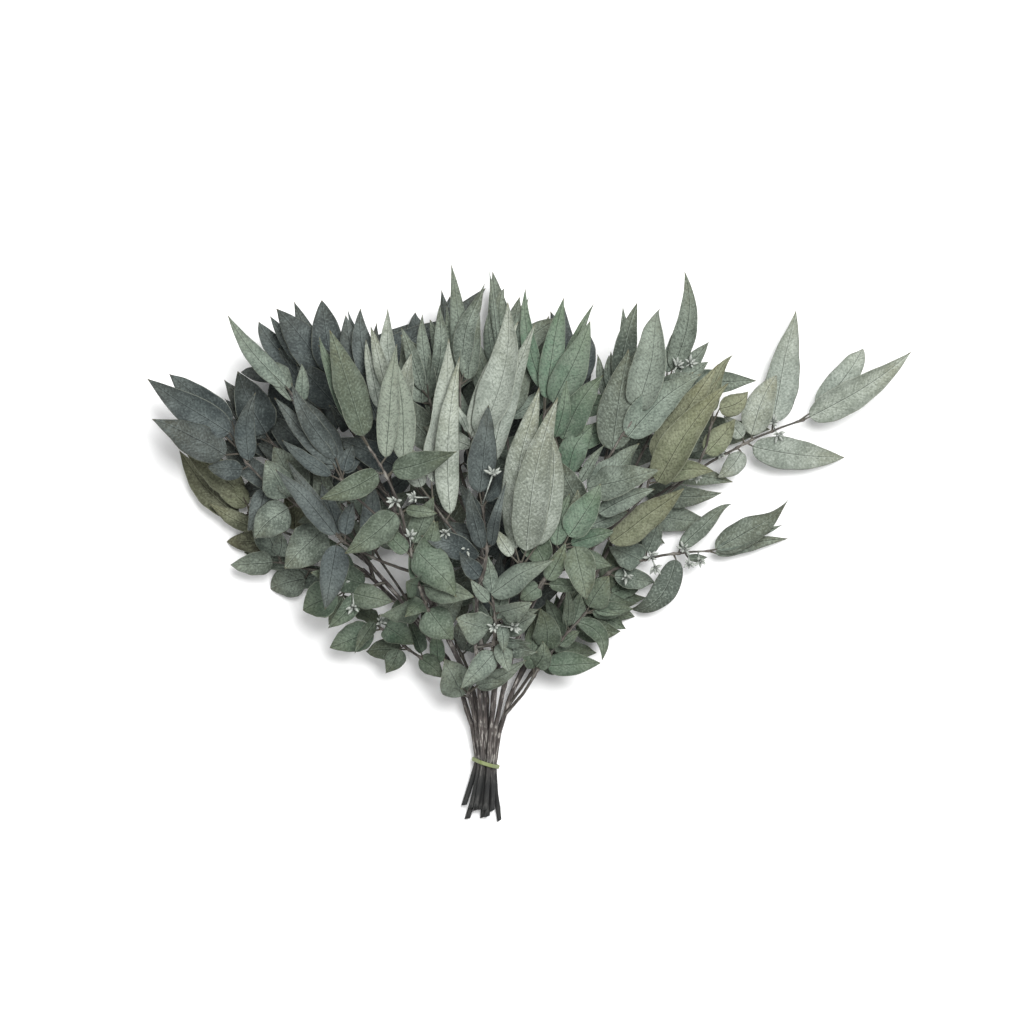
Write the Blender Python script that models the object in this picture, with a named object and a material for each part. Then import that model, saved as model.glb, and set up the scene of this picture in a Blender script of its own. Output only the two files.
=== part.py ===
"""A bunch of dried willow eucalyptus, tied with a rubber band and lying on a flat surface.

+Y runs from the cut stem ends to the leaf tips and +Z is up. The origin is the middle of the
bunch's box, at the surface. The plan is in millimetres, and the objects are in metres. Twelve
stems lie side by side in the band and fan out above it. Each carries leafy sprays: a twig
with its leaves, joined as one solid. The leaves that show from above are listed by hand, and
a filling grows by rule underneath them, wherever a leaf finds room.
"""

from collections.abc import Iterator
from dataclasses import dataclass
from enum import Enum
from itertools import product

import bmesh
import bpy
import numpy as np
from mathutils.bvhtree import BVHTree

Point = tuple[float, float, float]


class Tone(Enum):
    """The leaf colours of the bunch, from its shaded side to its bleached one."""

    SLATE = "leaf_slate"
    GREY = "leaf_grey_green"
    PALE = "leaf_pale"
    GREEN = "leaf_green"
    OLIVE = "leaf_olive"


@dataclass(frozen=True)
class Leaf:
    """One leaf, in millimetres: where its blade starts and ends, and its shape.

    bow bends it sideways and hook turns its tip over, both as shares of its length.
    """

    base: tuple[float, float]
    tip: Point
    width: float
    bow: float = 0.0
    hook: float = 0.0


@dataclass(frozen=True)
class Stem:
    """One cut stem, in millimetres: its place in the tie, and the points that it runs through."""

    tie: tuple[float, float]
    cut: Point
    radius: float
    rise: tuple[Point, ...]


@dataclass(frozen=True)
class Spray:
    """A leafy side twig, in millimetres: the stem it leaves, where, its route and its leaves.

    fill leaves are placed by rule, fill_length long, where the listed leaves leave room.
    """

    name: str
    stem: int
    start: float
    route: tuple[Point, ...]
    tone: Tone
    leaves: tuple[Leaf, ...] = ()
    fill: int = 0
    fill_length: float = 55.0


def leaf(bx: float, by: float, tx: float, ty: float, tz: float, width: float,
         bow: float = 0.0, hook: float = 0.0) -> Leaf:
    """A leaf from its blade's start (bx, by) to its tip (tx, ty, tz)."""
    return Leaf((bx, by), (tx, ty, tz), width, bow, hook)


# ---- driving dimensions, in millimetres ----
TIE_Y = -169.0  # where the band holds the stems
TIE_TILT = -0.32  # the band runs down to the right: millimetres of y for each of x
TIE_X = -36.0
BAND_WIDTH = 3.2
BAND_THICK = 1.4
GAP = 0.35  # kept between neighbouring pieces
STEM_TOP_SHARE = 0.72  # a stem's radius at its top, as a share of that at its cut end
TWIG_FOOT, TWIG_END = 1.25, 0.75  # a twig's radius where it leaves the stem and at its end
STALK = 0.5  # a leaf stalk's half width
MIDRIB = 1.0  # a leaf's thickness along its midrib
FOLD = 0.06  # how far a blade's edges stand above its midrib, as a share of its half width
BLADE_IN, BLADE_OUT = 0.50, 0.92  # powers of the blade's outline, from the stalk and to the tip
LOWEST_TIP = 1.2  # a filling leaf's tip stays this high

STEM_STEP = 26.0  # between the points of a stem's path
TWIG_STEP = 20.0  # between the points of a twig's path
LONGER_BLADES = (46.0, 80.0)  # past each of these lengths a blade has one section more
STATION_POWER = 1.3  # crowds a blade's sections towards its stalk
GROWN = 0.6  # how much a leaf is thickened while it looks for room

# ---- how a piece looks for room ----
SEED = 20
TWIG_RISES = (0, 3, -3, 6, -6, 9, -9, 13, -13, 18)
SHORTER = (1.0, 0.88, 0.75, 0.62)
RISES = (0, 3, -3, 6, -6, 10, -10, 14, -14, 19, -19, 25, -25)
TURNS = (0.0, 0.3, -0.3, 0.6, -0.6)
LIFTS = (0.0, 0.06, -0.05)
SLANTS = (0.6, 0.9, 1.25)  # between a filling leaf and its twig
GOLDEN_ANGLE = 2.4
ROUND_TRIES = 8  # ways round its twig that a filling leaf tries
FILL_STALK = 6.0
FILL_WIDTHS = 0.25, 0.36  # a filling leaf's width as a share of its length, once that is LONG_FILL
LONG_FILL, SHORT_ROUNDER = 60.0, 0.8  # shorter ones are rounder, by this power
SWAY, CURL = 0.03, 0.05  # spread of a listed leaf's own bow and hook
END_SPARE = 1.5  # the nearest that a leaf's foot comes to its twig's ends

# ---- the plan of what shows from above ----
CELL = 3.0
WIDEN, NARROW = 6, 6  # cells that the plan is widened by and then narrowed by
MOST_COVERED, MOST_OUTSIDE = 0.12, 0.05  # shares of a filling leaf over a seen one, and outside the plan
FRESH_STEP = 5
GRID = (220, 160)
PLAN_LOW = np.array((-330.0, -240.0))
UP = np.array((0.0, 0.0, 1.0))

# ---- what only the solids need ----
MM = 0.001
WELD = 0.00001
THIN_ROD = 1.5  # a rod thinner than this is four-sided
BAND_GAP = 0.5  # between the band and the stems
BAND_POINTS = 16  # points round each stem that the band's outline is taken from
BAND_LOOK = ((0.27, 0.34, 0.12), 0.55)
BARK_LOOK = ((0.07, 0.05, 0.052), 0.85)
LEAF_ROUGHNESS = 0.8
LEAF_COLOURS = {
    Tone.SLATE: (0.068, 0.090, 0.084),
    Tone.GREY: (0.180, 0.220, 0.190),
    Tone.PALE: (0.275, 0.325, 0.245),
    Tone.GREEN: (0.150, 0.275, 0.190),
    Tone.OLIVE: (0.210, 0.220, 0.098),
}


STEMS = (
    Stem((-40.6, 4.4), (-50.5, -213.0, 2.3), 2.1, ((-50, -112, 9), (-88, -62, 12), (-132, -18, 14))),
    Stem((-36.0, 4.4), (-38.5, -212.0, 2.3), 2.1, ((-36, -112, 10), (-42, -50, 20), (-46, 30, 32))),
    Stem((-31.4, 4.4), (-31.5, -207.0, 2.2), 2.0, ((-15, -112, 9), (14, -66, 15), (46, -30, 24))),
    Stem((-42.9, 8.4), (-53.0, -202.0, 5.6), 2.1, ((-55, -112, 17), (-88, -58, 34), (-132, -6, 46))),
    Stem((-38.3, 8.4), (-43.8, -206.0, 6.6), 2.0, ((-46, -112, 18), (-78, -45, 40), (-112, 42, 52))),
    Stem((-33.7, 8.4), (-35.0, -211.0, 6.6), 2.1, ((-30, -112, 18), (-20, -45, 40), (-6, 50, 60))),
    Stem((-29.1, 8.4), (-25.5, -214.5, 2.0), 1.8, ((-18, -118, 17), (8, -66, 34), (54, 12, 52))),
    Stem((-40.6, 12.4), (-47.4, -204.0, 10.8), 2.0, ((-48, -112, 27), (-68, -60, 58), (-92, 2, 86))),
    Stem((-36.0, 12.4), (-39.8, -205.0, 9.8), 2.1, ((-37, -112, 28), (-40, -52, 58), (-38, 14, 82))),
    Stem((-31.4, 12.4), (-31.0, -206.0, 11.0), 2.0, ((-23, -112, 27), (-4, -52, 56), (22, -2, 76))),
    Stem((-38.3, 16.4), (-43.6, -203.0, 14.6), 1.9, ((-41, -112, 37), (-43, -70, 70), (-42, -30, 96))),
    Stem((-33.7, 16.4), (-36.5, -205.0, 15.6), 1.9, ((-29, -112, 37), (-20, -70, 70), (-8, -38, 94))),
)

SPRAYS = (
    Spray("left_outer", 4, 0.93,
          ((-160, 19, 42), (-182, 36, 44), (-205, 50, 46), (-219, 63, 48), (-229, 82, 48)),
          Tone.SLATE, (
              leaf(-233, 88, -296, 126, 54, 25), leaf(-231, 97, -279, 136, 46, 22),
              leaf(-236, 71, -289, 99, 57, 26), leaf(-218, 67, -221, 118, 66, 16),
              leaf(-223, 60, -250, 62, 44, 16), leaf(-206, 45, -215, 10, 54, 17),
              leaf(-244, 92, -275, 106, 40, 12)), fill=2),
    Spray("left_dark", 4, 0.97, ((-152, 38, 30), (-185, 66, 33), (-203, 82, 34)), Tone.SLATE, (
        leaf(-206, 88, -231, 134, 38, 28), leaf(-210, 84, -237, 131, 30, 18),
        leaf(-166, 66, -206, 106, 26, 22), leaf(-172, 56, -215, 80, 24, 24)), fill=3),
    Spray("left_edge", 1, 0.99, ((-165, 0, 11), (-200, 14, 11), (-222, 27, 12)), Tone.OLIVE, (
        leaf(-230, 24, -276, 72, 2, 21, bow=-0.10), leaf(-226, 40, -272, 84, 24, 22),
        leaf(-222, 32, -252, 60, 18, 18), leaf(-216, 14, -251, 32, 20, 13),
        leaf(-206, 3, -238, 8, 2, 17)), fill=2),
    Spray("left_low", 1, 0.96, ((-160, -18, 13), (-182, -17, 15), (-197, -12, 16)), Tone.GREY, (
        leaf(-202, -12, -235, -13, 20, 18), leaf(-177, -25, -206, -34, 2, 25),
        leaf(-197, -7, -194, 12, 28, 12)), fill=4, fill_length=38),
    Spray("left_mid", 4, 0.90, ((-140, 6, 54), (-165, 23, 58), (-183, 34, 60)), Tone.GREY, (
        leaf(-187, 30, -215, 8, 62, 26), leaf(-188, 38, -205, 66, 66, 25),
        leaf(-160, 14, -192, -14, 56, 30), leaf(-178, 40, -200, 78, 54, 26)), fill=3, fill_length=48),
    Spray("left_front", 8, 0.86, ((-112, -12, 76), (-132, -2, 80), (-146, 6, 82)), Tone.SLATE, (
        leaf(-150, 10, -192, 63, 88, 15), leaf(-149, 2, -158, -47, 78, 21),
        leaf(-142, 10, -137, 36, 84, 12), leaf(-152, 14, -188, 66, 76, 11)), fill=2),
    Spray("left_low_inner", 4, 0.85, ((-118, -28, 50), (-135, -34, 53), (-145, -33, 54)), Tone.GREEN, (
        leaf(-139, -35, -107, -43, 62, 19), leaf(-149, -37, -178, -46, 42, 27)), fill=4, fill_length=38),
    Spray("low_left", 5, 0.27, ((-54, -108, 24), (-72, -96, 28), (-96, -79, 32), (-118, -62, 34)),
          Tone.GREEN, (
              leaf(-123, -65, -156, -80, 30, 22), leaf(-122, -58, -138, -81, 44, 10),
              leaf(-113, -61, -91, -75, 46, 20), leaf(-103, -79, -112, -99, 30, 15),
              leaf(-87, -86, -68, -99, 38, 15)), fill=5, fill_length=34),
    Spray("low_front", 8, 0.30, ((-50, -116, 36), (-49, -111, 46)), Tone.GREY, (
        leaf(-54, -115, -68, -84, 56, 26), leaf(-43, -107, -4, -87, 62, 13),
        leaf(-41, -106, -20, -104, 58, 9)), fill=3, fill_length=34),
    Spray("low_centre", 11, 0.66, ((-31, -76, 78), (-28, -60, 88), (-30, -39, 98)), Tone.GREY, (
        leaf(-31, -35, 13, -4, 118, 21), leaf(-33, -62, -58, -55, 94, 26),
        leaf(-29, -80, -54, -106, 86, 18), leaf(-24, -72, -19, -95, 80, 13),
        leaf(-24, -58, -21, -79, 90, 9), leaf(-33, -52, -46, -40, 76, 13)),
        fill=8, fill_length=34),
    Spray("centre_front", 12, 0.98, ((-10, -28, 100), (-9, -10, 110)), Tone.PALE, (
        leaf(-5, -2, 9, 114, 134, 26), leaf(-13, 0, 0, 126, 122, 24), leaf(3, 2, 18, 93, 112, 18),
        leaf(-16, -6, -29, 14, 108, 10))),
    Spray("centre_stalk", 11, 0.99, ((-37, -18, 103), (-34, -6, 107), (-38, 32, 108)), Tone.SLATE, (
        leaf(-38, 0, -50, 46, 114, 13), leaf(-31, 2, -22, 50, 118, 9, hook=0.35),
        leaf(-40, -22, -56, -4, 108, 13), leaf(-40, 42, -33, 108, 100, 23)), fill=4, fill_length=40),
    Spray("centre_upper", 9, 0.98, ((-37, 34, 88), (-40, 60, 95), (-42, 76, 98)), Tone.PALE, (
        leaf(-41, 84, -13, 183, 112, 28), leaf(-47, 84, -21, 173, 98, 18),
        leaf(-31, 64, 4, 168, 102, 17, bow=-0.04), leaf(-49, 88, -61, 112, 108, 7, hook=0.3)), fill=1),
    Spray("centre_left", 11, 0.94, ((-52, 0, 101), (-64, 18, 105), (-78, 38, 106)), Tone.PALE, (
        leaf(-62, 26, -56, 143, 104, 18), leaf(-76, 50, -62, 158, 110, 26),
        leaf(-84, 46, -92, 78, 98, 15))),
    Spray("upper_left", 8, 0.98, ((-96, 12, 102), (-99, 29, 112), (-111, 57, 118), (-123, 76, 118)),
          Tone.GREEN, (
              leaf(-103, 26, -141, -3, 120, 22), leaf(-95, 29, -71, 27, 112, 9),
              leaf(-116, 56, -158, 35, 124, 18), leaf(-105, 58, -57, 73, 126, 19),
              leaf(-110, 68, -104, 155, 110, 16, hook=0.12), leaf(-97, 66, -102, 146, 100, 19),
              leaf(-127, 84, -150, 163, 106, 26), leaf(-134, 92, -163, 155, 96, 14))),
    Spray("mid_left", 8, 0.74, ((-78, -50, 82), (-86, -27, 98), (-92, 0, 104)), Tone.GREEN, (
        leaf(-88, -1, -54, -32, 114, 27), leaf(-82, -29, -44, -37, 104, 19),
        leaf(-79, -47, -61, -71, 86, 25)), fill=8, fill_length=36),
    Spray("centre_right", 12, 0.96, ((3, -33, 99), (12, -16, 105), (24, 3, 108)), Tone.GREEN, (
        leaf(5, -29, -10, -40, 104, 14), leaf(11, -24, 25, 4, 114, 13),
        leaf(32, 1, 42, -39, 106, 22), leaf(27, 9, 51, 48, 116, 22),
        leaf(18, 2, 26, 42, 106, 14)), fill=4, fill_length=40),
    Spray("right_front", 10, 0.90, ((24, -20, 80), (37, 4, 90), (38, 40, 95)), Tone.GREY, (
        leaf(41, 45, 95, 60, 108, 26), leaf(50, 26, 92, 46, 98, 15), leaf(36, 50, 53, 78, 106, 8)), fill=5,
        fill_length=44),
    Spray("right_upper", 10, 0.98, ((38, 24, 82), (50, 54, 88), (58, 70, 91), (75, 96, 96)), Tone.GREY, (
        leaf(60, 74, 71, 150, 100, 29), leaf(79, 104, 101, 185, 106, 26),
        leaf(72, 84, 124, 134, 96, 26)), fill=1),
    Spray("right_olive", 7, 0.97, ((66, 20, 66), (86, 40, 76), (90, 58, 80)), Tone.OLIVE, (
        leaf(95, 50, 139, 128, 104, 25), leaf(92, 68, 135, 138, 92, 22),
        leaf(104, 56, 147, 125, 92, 17), leaf(60, 4, 114, 48, 70, 23)), fill=1, fill_length=44),
    Spray("right_shade", 7, 0.94, ((86, 28, 54), (116, 52, 60), (130, 68, 62), (137, 96, 66)), Tone.OLIVE, (
        leaf(133, 72, 154, 99, 62, 18), leaf(138, 104, 147, 150, 74, 11),
        leaf(143, 106, 168, 117, 64, 16))),
    Spray("right_arm_upper", 7, 0.99,
          ((90, 36, 42), (120, 55, 38), (145, 70, 34), (165, 80, 31), (183, 89, 27), (212, 99, 20)),
          Tone.PALE, (
              leaf(162, 74, 145, 53, 24, 15), leaf(163, 85, 149, 102, 42, 12),
              leaf(171, 78, 246, 70, 2, 24), leaf(170, 87, 184, 136, 22, 22),
              leaf(187, 97, 204, 185, 12, 25), leaf(216, 101, 296, 147, 24, 23),
              leaf(222, 108, 262, 160, 4, 21, hook=0.14))),
    Spray("right_arm_lower", 3, 0.98, ((62, -18, 26), (90, -9, 25), (112, -5, 22), (139, -3, 18)),
          Tone.GREY, (
              leaf(85, -11, 58, 0, 36, 22), leaf(89, -4, 98, 23, 30, 14),
              leaf(64, -23, 94, -31, 8, 16), leaf(112, -10, 79, -56, 4, 19, bow=-0.12),
              leaf(115, -1, 158, 35, 22, 13), leaf(143, -2, 203, 33, 20, 21),
              leaf(143, -5, 199, 10, 2, 11), leaf(144, -2, 195, 17, 12, 9),
              leaf(121, -8, 136, -10, 14, 6))),
    Spray("low_right", 7, 0.20, ((-8, -115, 28), (3, -97, 33), (14, -82, 36), (28, -65, 40), (42, -50, 42)),
          Tone.GREEN, (
              leaf(12, -92, 52, -87, 38, 19), leaf(35, -58, 53, -87, 42, 13, bow=-0.22),
              leaf(3, -92, 11, -73, 46, 15), leaf(21, -76, 37, -65, 36, 10),
              leaf(11, -78, 9, -46, 56, 21), leaf(27, -61, 27, -30, 54, 9),
              leaf(44, -46, 60, -23, 46, 23), leaf(48, -48, 67, -52, 42, 6), leaf(22, -68, 12, -40, 38, 13),
            leaf(31, -60, 37, -34, 36, 14)), fill=4, fill_length=34),
    Spray("crown_left", 5, 0.97, ((-138, 88, 56), (-154, 126, 61)), Tone.SLATE, (
        leaf(-159, 136, -192, 185, 70, 26), leaf(-163, 134, -203, 177, 60, 14),
        leaf(-158, 140, -184, 185, 58, 15), leaf(-153, 134, -163, 192, 65, 24),
        leaf(-143, 104, -157, 184, 60, 17), leaf(-150, 108, -180, 142, 64, 24)), fill=2),
    Spray("crown_far_left", 5, 0.93, ((-138, 66, 42), (-165, 108, 45), (-180, 136, 47)), Tone.SLATE, (
        leaf(-184, 142, -211, 174, 50, 17), leaf(-186, 136, -211, 164, 44, 17),
        leaf(-172, 118, -198, 150, 50, 22), leaf(-152, 88, -180, 124, 38, 23)), fill=2),
    Spray("left_upper", 8, 0.95, ((-118, 24, 84), (-136, 40, 86), (-146, 53, 88)), Tone.SLATE, (
        leaf(-149, 60, -177, 116, 80, 27), leaf(-153, 55, -190, 80, 90, 12),
        leaf(-151, 64, -198, 113, 96, 14), leaf(-149, 68, -188, 121, 102, 15),
        leaf(-143, 58, -137, 78, 86, 12)), fill=1),
    Spray("left_wisp", 5, 0.99, ((-138, 66, 64), (-168, 98, 70), (-184, 118, 73)), Tone.GREY, (
        leaf(-188, 123, -232, 174, 82, 15), leaf(-184, 112, -223, 163, 74, 6),
        leaf(-176, 112, -176, 140, 78, 10)), fill=1),
    Spray("crown_blue", 9, 0.86, ((-92, 50, 68), (-116, 92, 72), (-124, 114, 74)), Tone.SLATE, (
        leaf(-129, 122, -142, 177, 76, 20), leaf(-125, 124, -137, 180, 68, 10),
        leaf(-120, 122, -133, 182, 84, 18), leaf(-118, 98, -141, 138, 70, 22)), fill=2),
    Spray("crown_grey", 9, 0.93, ((-84, 44, 80), (-104, 90, 82), (-108, 116, 84)), Tone.PALE, (
        leaf(-116, 106, -125, 158, 94, 10), leaf(-111, 122, -119, 168, 90, 10),
        leaf(-106, 124, -112, 180, 82, 13), leaf(-103, 112, -108, 172, 74, 8),
        leaf(-99, 92, -92, 146, 86, 19)), fill=1),
    Spray("crown_mid_left", 9, 0.96, ((-60, 46, 76), (-74, 92, 78), (-79, 116, 78)), Tone.GREY, (
        leaf(-84, 120, -99, 168, 84, 11), leaf(-80, 124, -87, 177, 76, 11),
        leaf(-75, 124, -72, 188, 82, 11, hook=0.1), leaf(-84, 110, -93, 164, 66, 27),
        leaf(-72, 98, -64, 152, 70, 21)), fill=2),
    Spray("crown_high", 6, 0.88, ((-44, 56, 74), (-54, 98, 78), (-55, 126, 80)), Tone.GREY, (
        leaf(-60, 132, -67, 181, 74, 9), leaf(-55, 136, -56, 215, 82, 13),
        leaf(-52, 134, -33, 199, 92, 15, bow=-0.10), leaf(-49, 128, -46, 180, 78, 15)), fill=2),
    Spray("crown_centre", 6, 0.93, ((-18, 72, 66), (-22, 110, 69), (-22, 138, 72)), Tone.GREY, (
        leaf(-26, 148, -33, 211, 76, 5), leaf(-20, 150, -27, 201, 84, 12, hook=0.2),
        leaf(-29, 138, -38, 179, 70, 10), leaf(-15, 138, -2, 190, 74, 11),
        leaf(-28, 108, -42, 160, 66, 21), leaf(-16, 104, -4, 160, 62, 19)), fill=2),
    Spray("crown_green", 6, 0.98, ((2, 70, 74), (8, 94, 77), (10, 105, 78)), Tone.GREEN, (
        leaf(10, 114, 21, 190, 86, 18), leaf(16, 110, 49, 168, 92, 24),
        leaf(9, 120, -6, 197, 74, 12, bow=-0.08), leaf(20, 116, 43, 187, 70, 10),
        leaf(20, 108, 40, 168, 62, 14)), fill=2),
    Spray("right_green", 10, 0.94, ((16, 28, 84), (21, 56, 89), (21, 74, 92)), Tone.GREEN, (
        leaf(23, 82, 48, 134, 102, 22), leaf(17, 84, 27, 126, 108, 11),
        leaf(27, 56, 46, 98, 88, 20)), fill=1),
    Spray("crown_right", 7, 0.91, ((54, 56, 50), (62, 98, 55), (64, 116, 57)), Tone.GREY, (
        leaf(67, 126, 81, 187, 64, 17), leaf(67, 120, 76, 184, 54, 11),
        leaf(58, 112, 47, 149, 48, 8), leaf(61, 118, 56, 148, 54, 7),
        leaf(64, 120, 63, 150, 50, 7), leaf(70, 106, 92, 160, 58, 18)), fill=2),
    Spray("crown_far_right", 7, 0.96, ((76, 56, 56), (96, 100, 61), (104, 126, 64)), Tone.GREY, (
        leaf(107, 136, 124, 209, 72, 17, hook=0.06), leaf(103, 134, 111, 166, 60, 10),
        leaf(110, 131, 136, 157, 66, 12), leaf(109, 126, 135, 141, 72, 13),
        leaf(98, 112, 122, 134, 78, 20)), fill=2),
    Spray("back_crown_left", 5, 0.90, ((-118, 90, 30), (-138, 138, 20)), Tone.SLATE, fill=8, fill_length=64),
    Spray("back_crown_mid", 2, 0.98, ((-66, 92, 26), (-82, 146, 16)), Tone.SLATE, (
        leaf(-86, 152, -90, 184, 1.2, 16),), fill=7, fill_length=66),
    Spray("back_crown_right", 2, 0.95, ((-30, 90, 24), (-18, 146, 16)), Tone.GREY, (
        leaf(-15, 152, -8, 188, 1.2, 16),), fill=7, fill_length=68),
    Spray("back_top_right", 6, 0.84, ((14, 72, 36), (34, 122, 22)), Tone.SLATE, (
        leaf(36, 128, 47, 168, 1.2, 18),), fill=7, fill_length=66),
    Spray("back_right", 3, 0.99, ((66, 12, 22), (92, 62, 14), (108, 96, 10)), Tone.GREY, (
        leaf(112, 102, 132, 138, 1.2, 17), leaf(111, 96, 146, 114, 1.2, 16)), fill=6, fill_length=62),
    Spray("back_far_left", 1, 0.93, ((-140, 22, 14), (-170, 58, 10), (-190, 88, 9)), Tone.SLATE, (
        leaf(-196, 93, -232, 122, 1.2, 20), leaf(-192, 96, -206, 140, 1.2, 18)), fill=5, fill_length=58),
    Spray("back_left", 1, 0.34, ((-78, -74, 18), (-98, -40, 24), (-124, 0, 24), (-140, 34, 20)), Tone.GREY,
          fill=15, fill_length=40),
    Spray("back_middle", 2, 0.26, ((-54, -88, 16), (-66, -50, 22), (-74, -8, 20), (-84, 38, 12)), Tone.GREY,
          fill=17, fill_length=40),
    Spray("back_low_right", 3, 0.28, ((4, -92, 16), (22, -70, 20), (34, -52, 20), (58, -38, 14)),
          Tone.GREEN, (leaf(62, -36, 86, -28, 1.2, 14),), fill=20, fill_length=34),
    Spray("inner_centre", 2, 0.36, ((-28, -72, 22), (-24, -30, 34), (-18, 6, 38), (-4, 50, 40)), Tone.SLATE,
          fill=26, fill_length=42),
)


def unit(vectors: np.ndarray) -> np.ndarray:
    """Vectors scaled to a length of one."""
    return vectors / np.linalg.norm(vectors, axis=-1, keepdims=True)


def smooth(points: tuple[Point, ...], step: float) -> np.ndarray:
    """A Catmull-Rom curve through the points, with a point about every step."""
    knots = np.array(points, float)
    knots = np.vstack([2 * knots[0] - knots[1], knots, 2 * knots[-1] - knots[-2]])
    runs = []
    for a, b, c, d in zip(knots, knots[1:], knots[2:], knots[3:]):
        count = max(1, round(np.linalg.norm(c - b) / step))
        t = np.arange(count)[:, None] / count
        runs.append(0.5 * (2 * b + (c - a) * t + (2 * a - 5 * b + 4 * c - d) * t**2
                           + (3 * b - a - 3 * c + d) * t**3))
    return np.vstack([*runs, knots[-2:-1]])


def along(path: np.ndarray, share: float | np.ndarray) -> np.ndarray:
    """The points at these shares of a path's length."""
    run = np.concatenate([[0], np.cumsum(np.linalg.norm(np.diff(path, axis=0), axis=1))])
    return np.stack([np.interp(np.asarray(share) * run[-1], run, axis) for axis in path.T], axis=-1)


def frames(tangents: np.ndarray) -> tuple[np.ndarray, np.ndarray]:
    """For each direction, the level one across it and the one that faces up from it."""
    sides = unit(np.cross(tangents, UP))
    return sides, np.cross(sides, unit(tangents))


@dataclass(frozen=True)
class Surface:
    """A closed strip of rings, and the box round it."""

    points: np.ndarray
    faces: list
    low: np.ndarray
    high: np.ndarray
    tree: BVHTree

    @classmethod
    def of(cls, rings: np.ndarray) -> "Surface":
        """The surface through rings of an even number of points, (ring, point in ring, xyz).

        Each diagonal runs from an even point to an odd one of the next ring, so that the two
        faces of a thin blade bend alike and never cross.
        """
        count, sides = rings.shape[:2]
        points = rings.reshape(-1, 3)
        faces = []
        for first in range(0, (count - 1) * sides, sides):
            for here in range(0, sides, 2):
                for there in ((here + 1) % sides, (here - 1) % sides):
                    even, odd, after = first + here, first + there, first + sides
                    corners = (even, odd, after + there), (even, after + there, after + here)
                    faces += corners if there == here + 1 else [corner[::-1] for corner in corners]
        faces.append(tuple(range(sides))[::-1])
        faces.append(tuple(range((count - 1) * sides, count * sides)))
        tree = BVHTree.FromPolygons(points.tolist(), faces)
        return cls(points, faces, points.min(0), points.max(0), tree)

    def meets(self, other: "Surface") -> bool:
        """Whether two surfaces touch."""
        if (self.low > other.high).any() or (other.low > self.high).any():
            return False
        return bool(self.tree.overlap(other.tree))


def tube(path: np.ndarray, radii: np.ndarray, sides: int = 6) -> Surface:
    """A tube along a path."""
    across, up = frames(np.gradient(path, axis=0))
    turn = 2 * np.pi * np.arange(sides) / sides
    offset = (np.cos(turn)[None, :, None] * across[:, None]
              + np.sin(turn)[None, :, None] * up[:, None])
    return Surface.of(path[:, None] + offset * radii[:, None, None])


@dataclass(frozen=True)
class Blade:
    """A leaf in place, in millimetres and radians.

    Its stalk runs from foot to base, and its blade from base to tip. bow bends it sideways,
    arch up and hook its tip over, as shares of its length. roll and twist turn its face.
    """

    foot: np.ndarray
    base: np.ndarray
    tip: np.ndarray
    width: float
    bow: float
    arch: float
    hook: float
    roll: float
    twist: float

    def course(self, u: np.ndarray) -> tuple[np.ndarray, np.ndarray, np.ndarray]:
        """The midrib's points at shares u of the blade, with the directions across it and out of its face."""
        chord = self.tip - self.base
        length = np.linalg.norm(chord)
        across, up = frames(chord)
        u = np.asarray(u, float)[:, None]
        hump, hook = 4 * u * (1 - u), 6.75 * u**2 * (1 - u)
        spine = (self.base + chord * u + across * self.bow * length * hump
                 + up * length * (self.arch * hump + self.hook * hook))
        hump, hook = 4 - 8 * u, 6.75 * (2 * u - 3 * u**2)
        heading = (chord + across * self.bow * length * hump
                   + up * length * (self.arch * hump + self.hook * hook))
        sides, faces = frames(heading)
        turn = self.roll + self.twist * (u - 0.5)
        return (spine, sides * np.cos(turn) + faces * np.sin(turn),
                faces * np.cos(turn) - sides * np.sin(turn))

    def half_width(self, u: np.ndarray) -> np.ndarray:
        """Half the blade's width: fast out from the stalk, widest near a third, long to the tip."""
        widest = BLADE_IN / (BLADE_IN + BLADE_OUT)
        full = widest**BLADE_IN * (1 - widest)**BLADE_OUT
        return np.maximum(self.width / 2 * u**BLADE_IN * (1 - u)**BLADE_OUT / full, 0.4)

    def rings(self, grow: float = 0.0, whole: bool = True) -> np.ndarray:
        """The leaf's four-cornered sections: edge, top, edge and keel.

        grow thickens it all round. whole starts it at the foot of its stalk, or else at its base.
        """
        length = np.linalg.norm(self.tip - self.base)
        u = np.linspace(0, 1, 3 + np.searchsorted(LONGER_BLADES, length)) ** STATION_POWER
        spine, sides, faces = self.course(u)
        half = self.half_width(u)
        half[0] = STALK
        thick = MIDRIB / 2 * (1 - 0.6 * u)
        if whole:
            across, up = frames(self.base - self.foot)
            spine = np.vstack([self.foot, spine])
            sides, faces = np.vstack([across, sides]), np.vstack([up, faces])
            half, thick = np.append(STALK, half), np.append(STALK, thick)
        edge = FOLD * half[:, None] * faces
        half, thick = (half + 2 * grow)[:, None] * sides, (thick + grow)[:, None] * faces
        return np.stack([spine + edge + half, spine + thick, spine + edge - half, spine - thick], axis=1)


def spread(cells: np.ndarray) -> np.ndarray:
    """These cells and their neighbours."""
    wide = cells.copy()
    wide[1:] |= cells[:-1]
    wide[:-1] |= cells[1:]
    wide[:, 1:] |= cells[:, :-1]
    wide[:, :-1] |= cells[:, 1:]
    return wide


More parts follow.
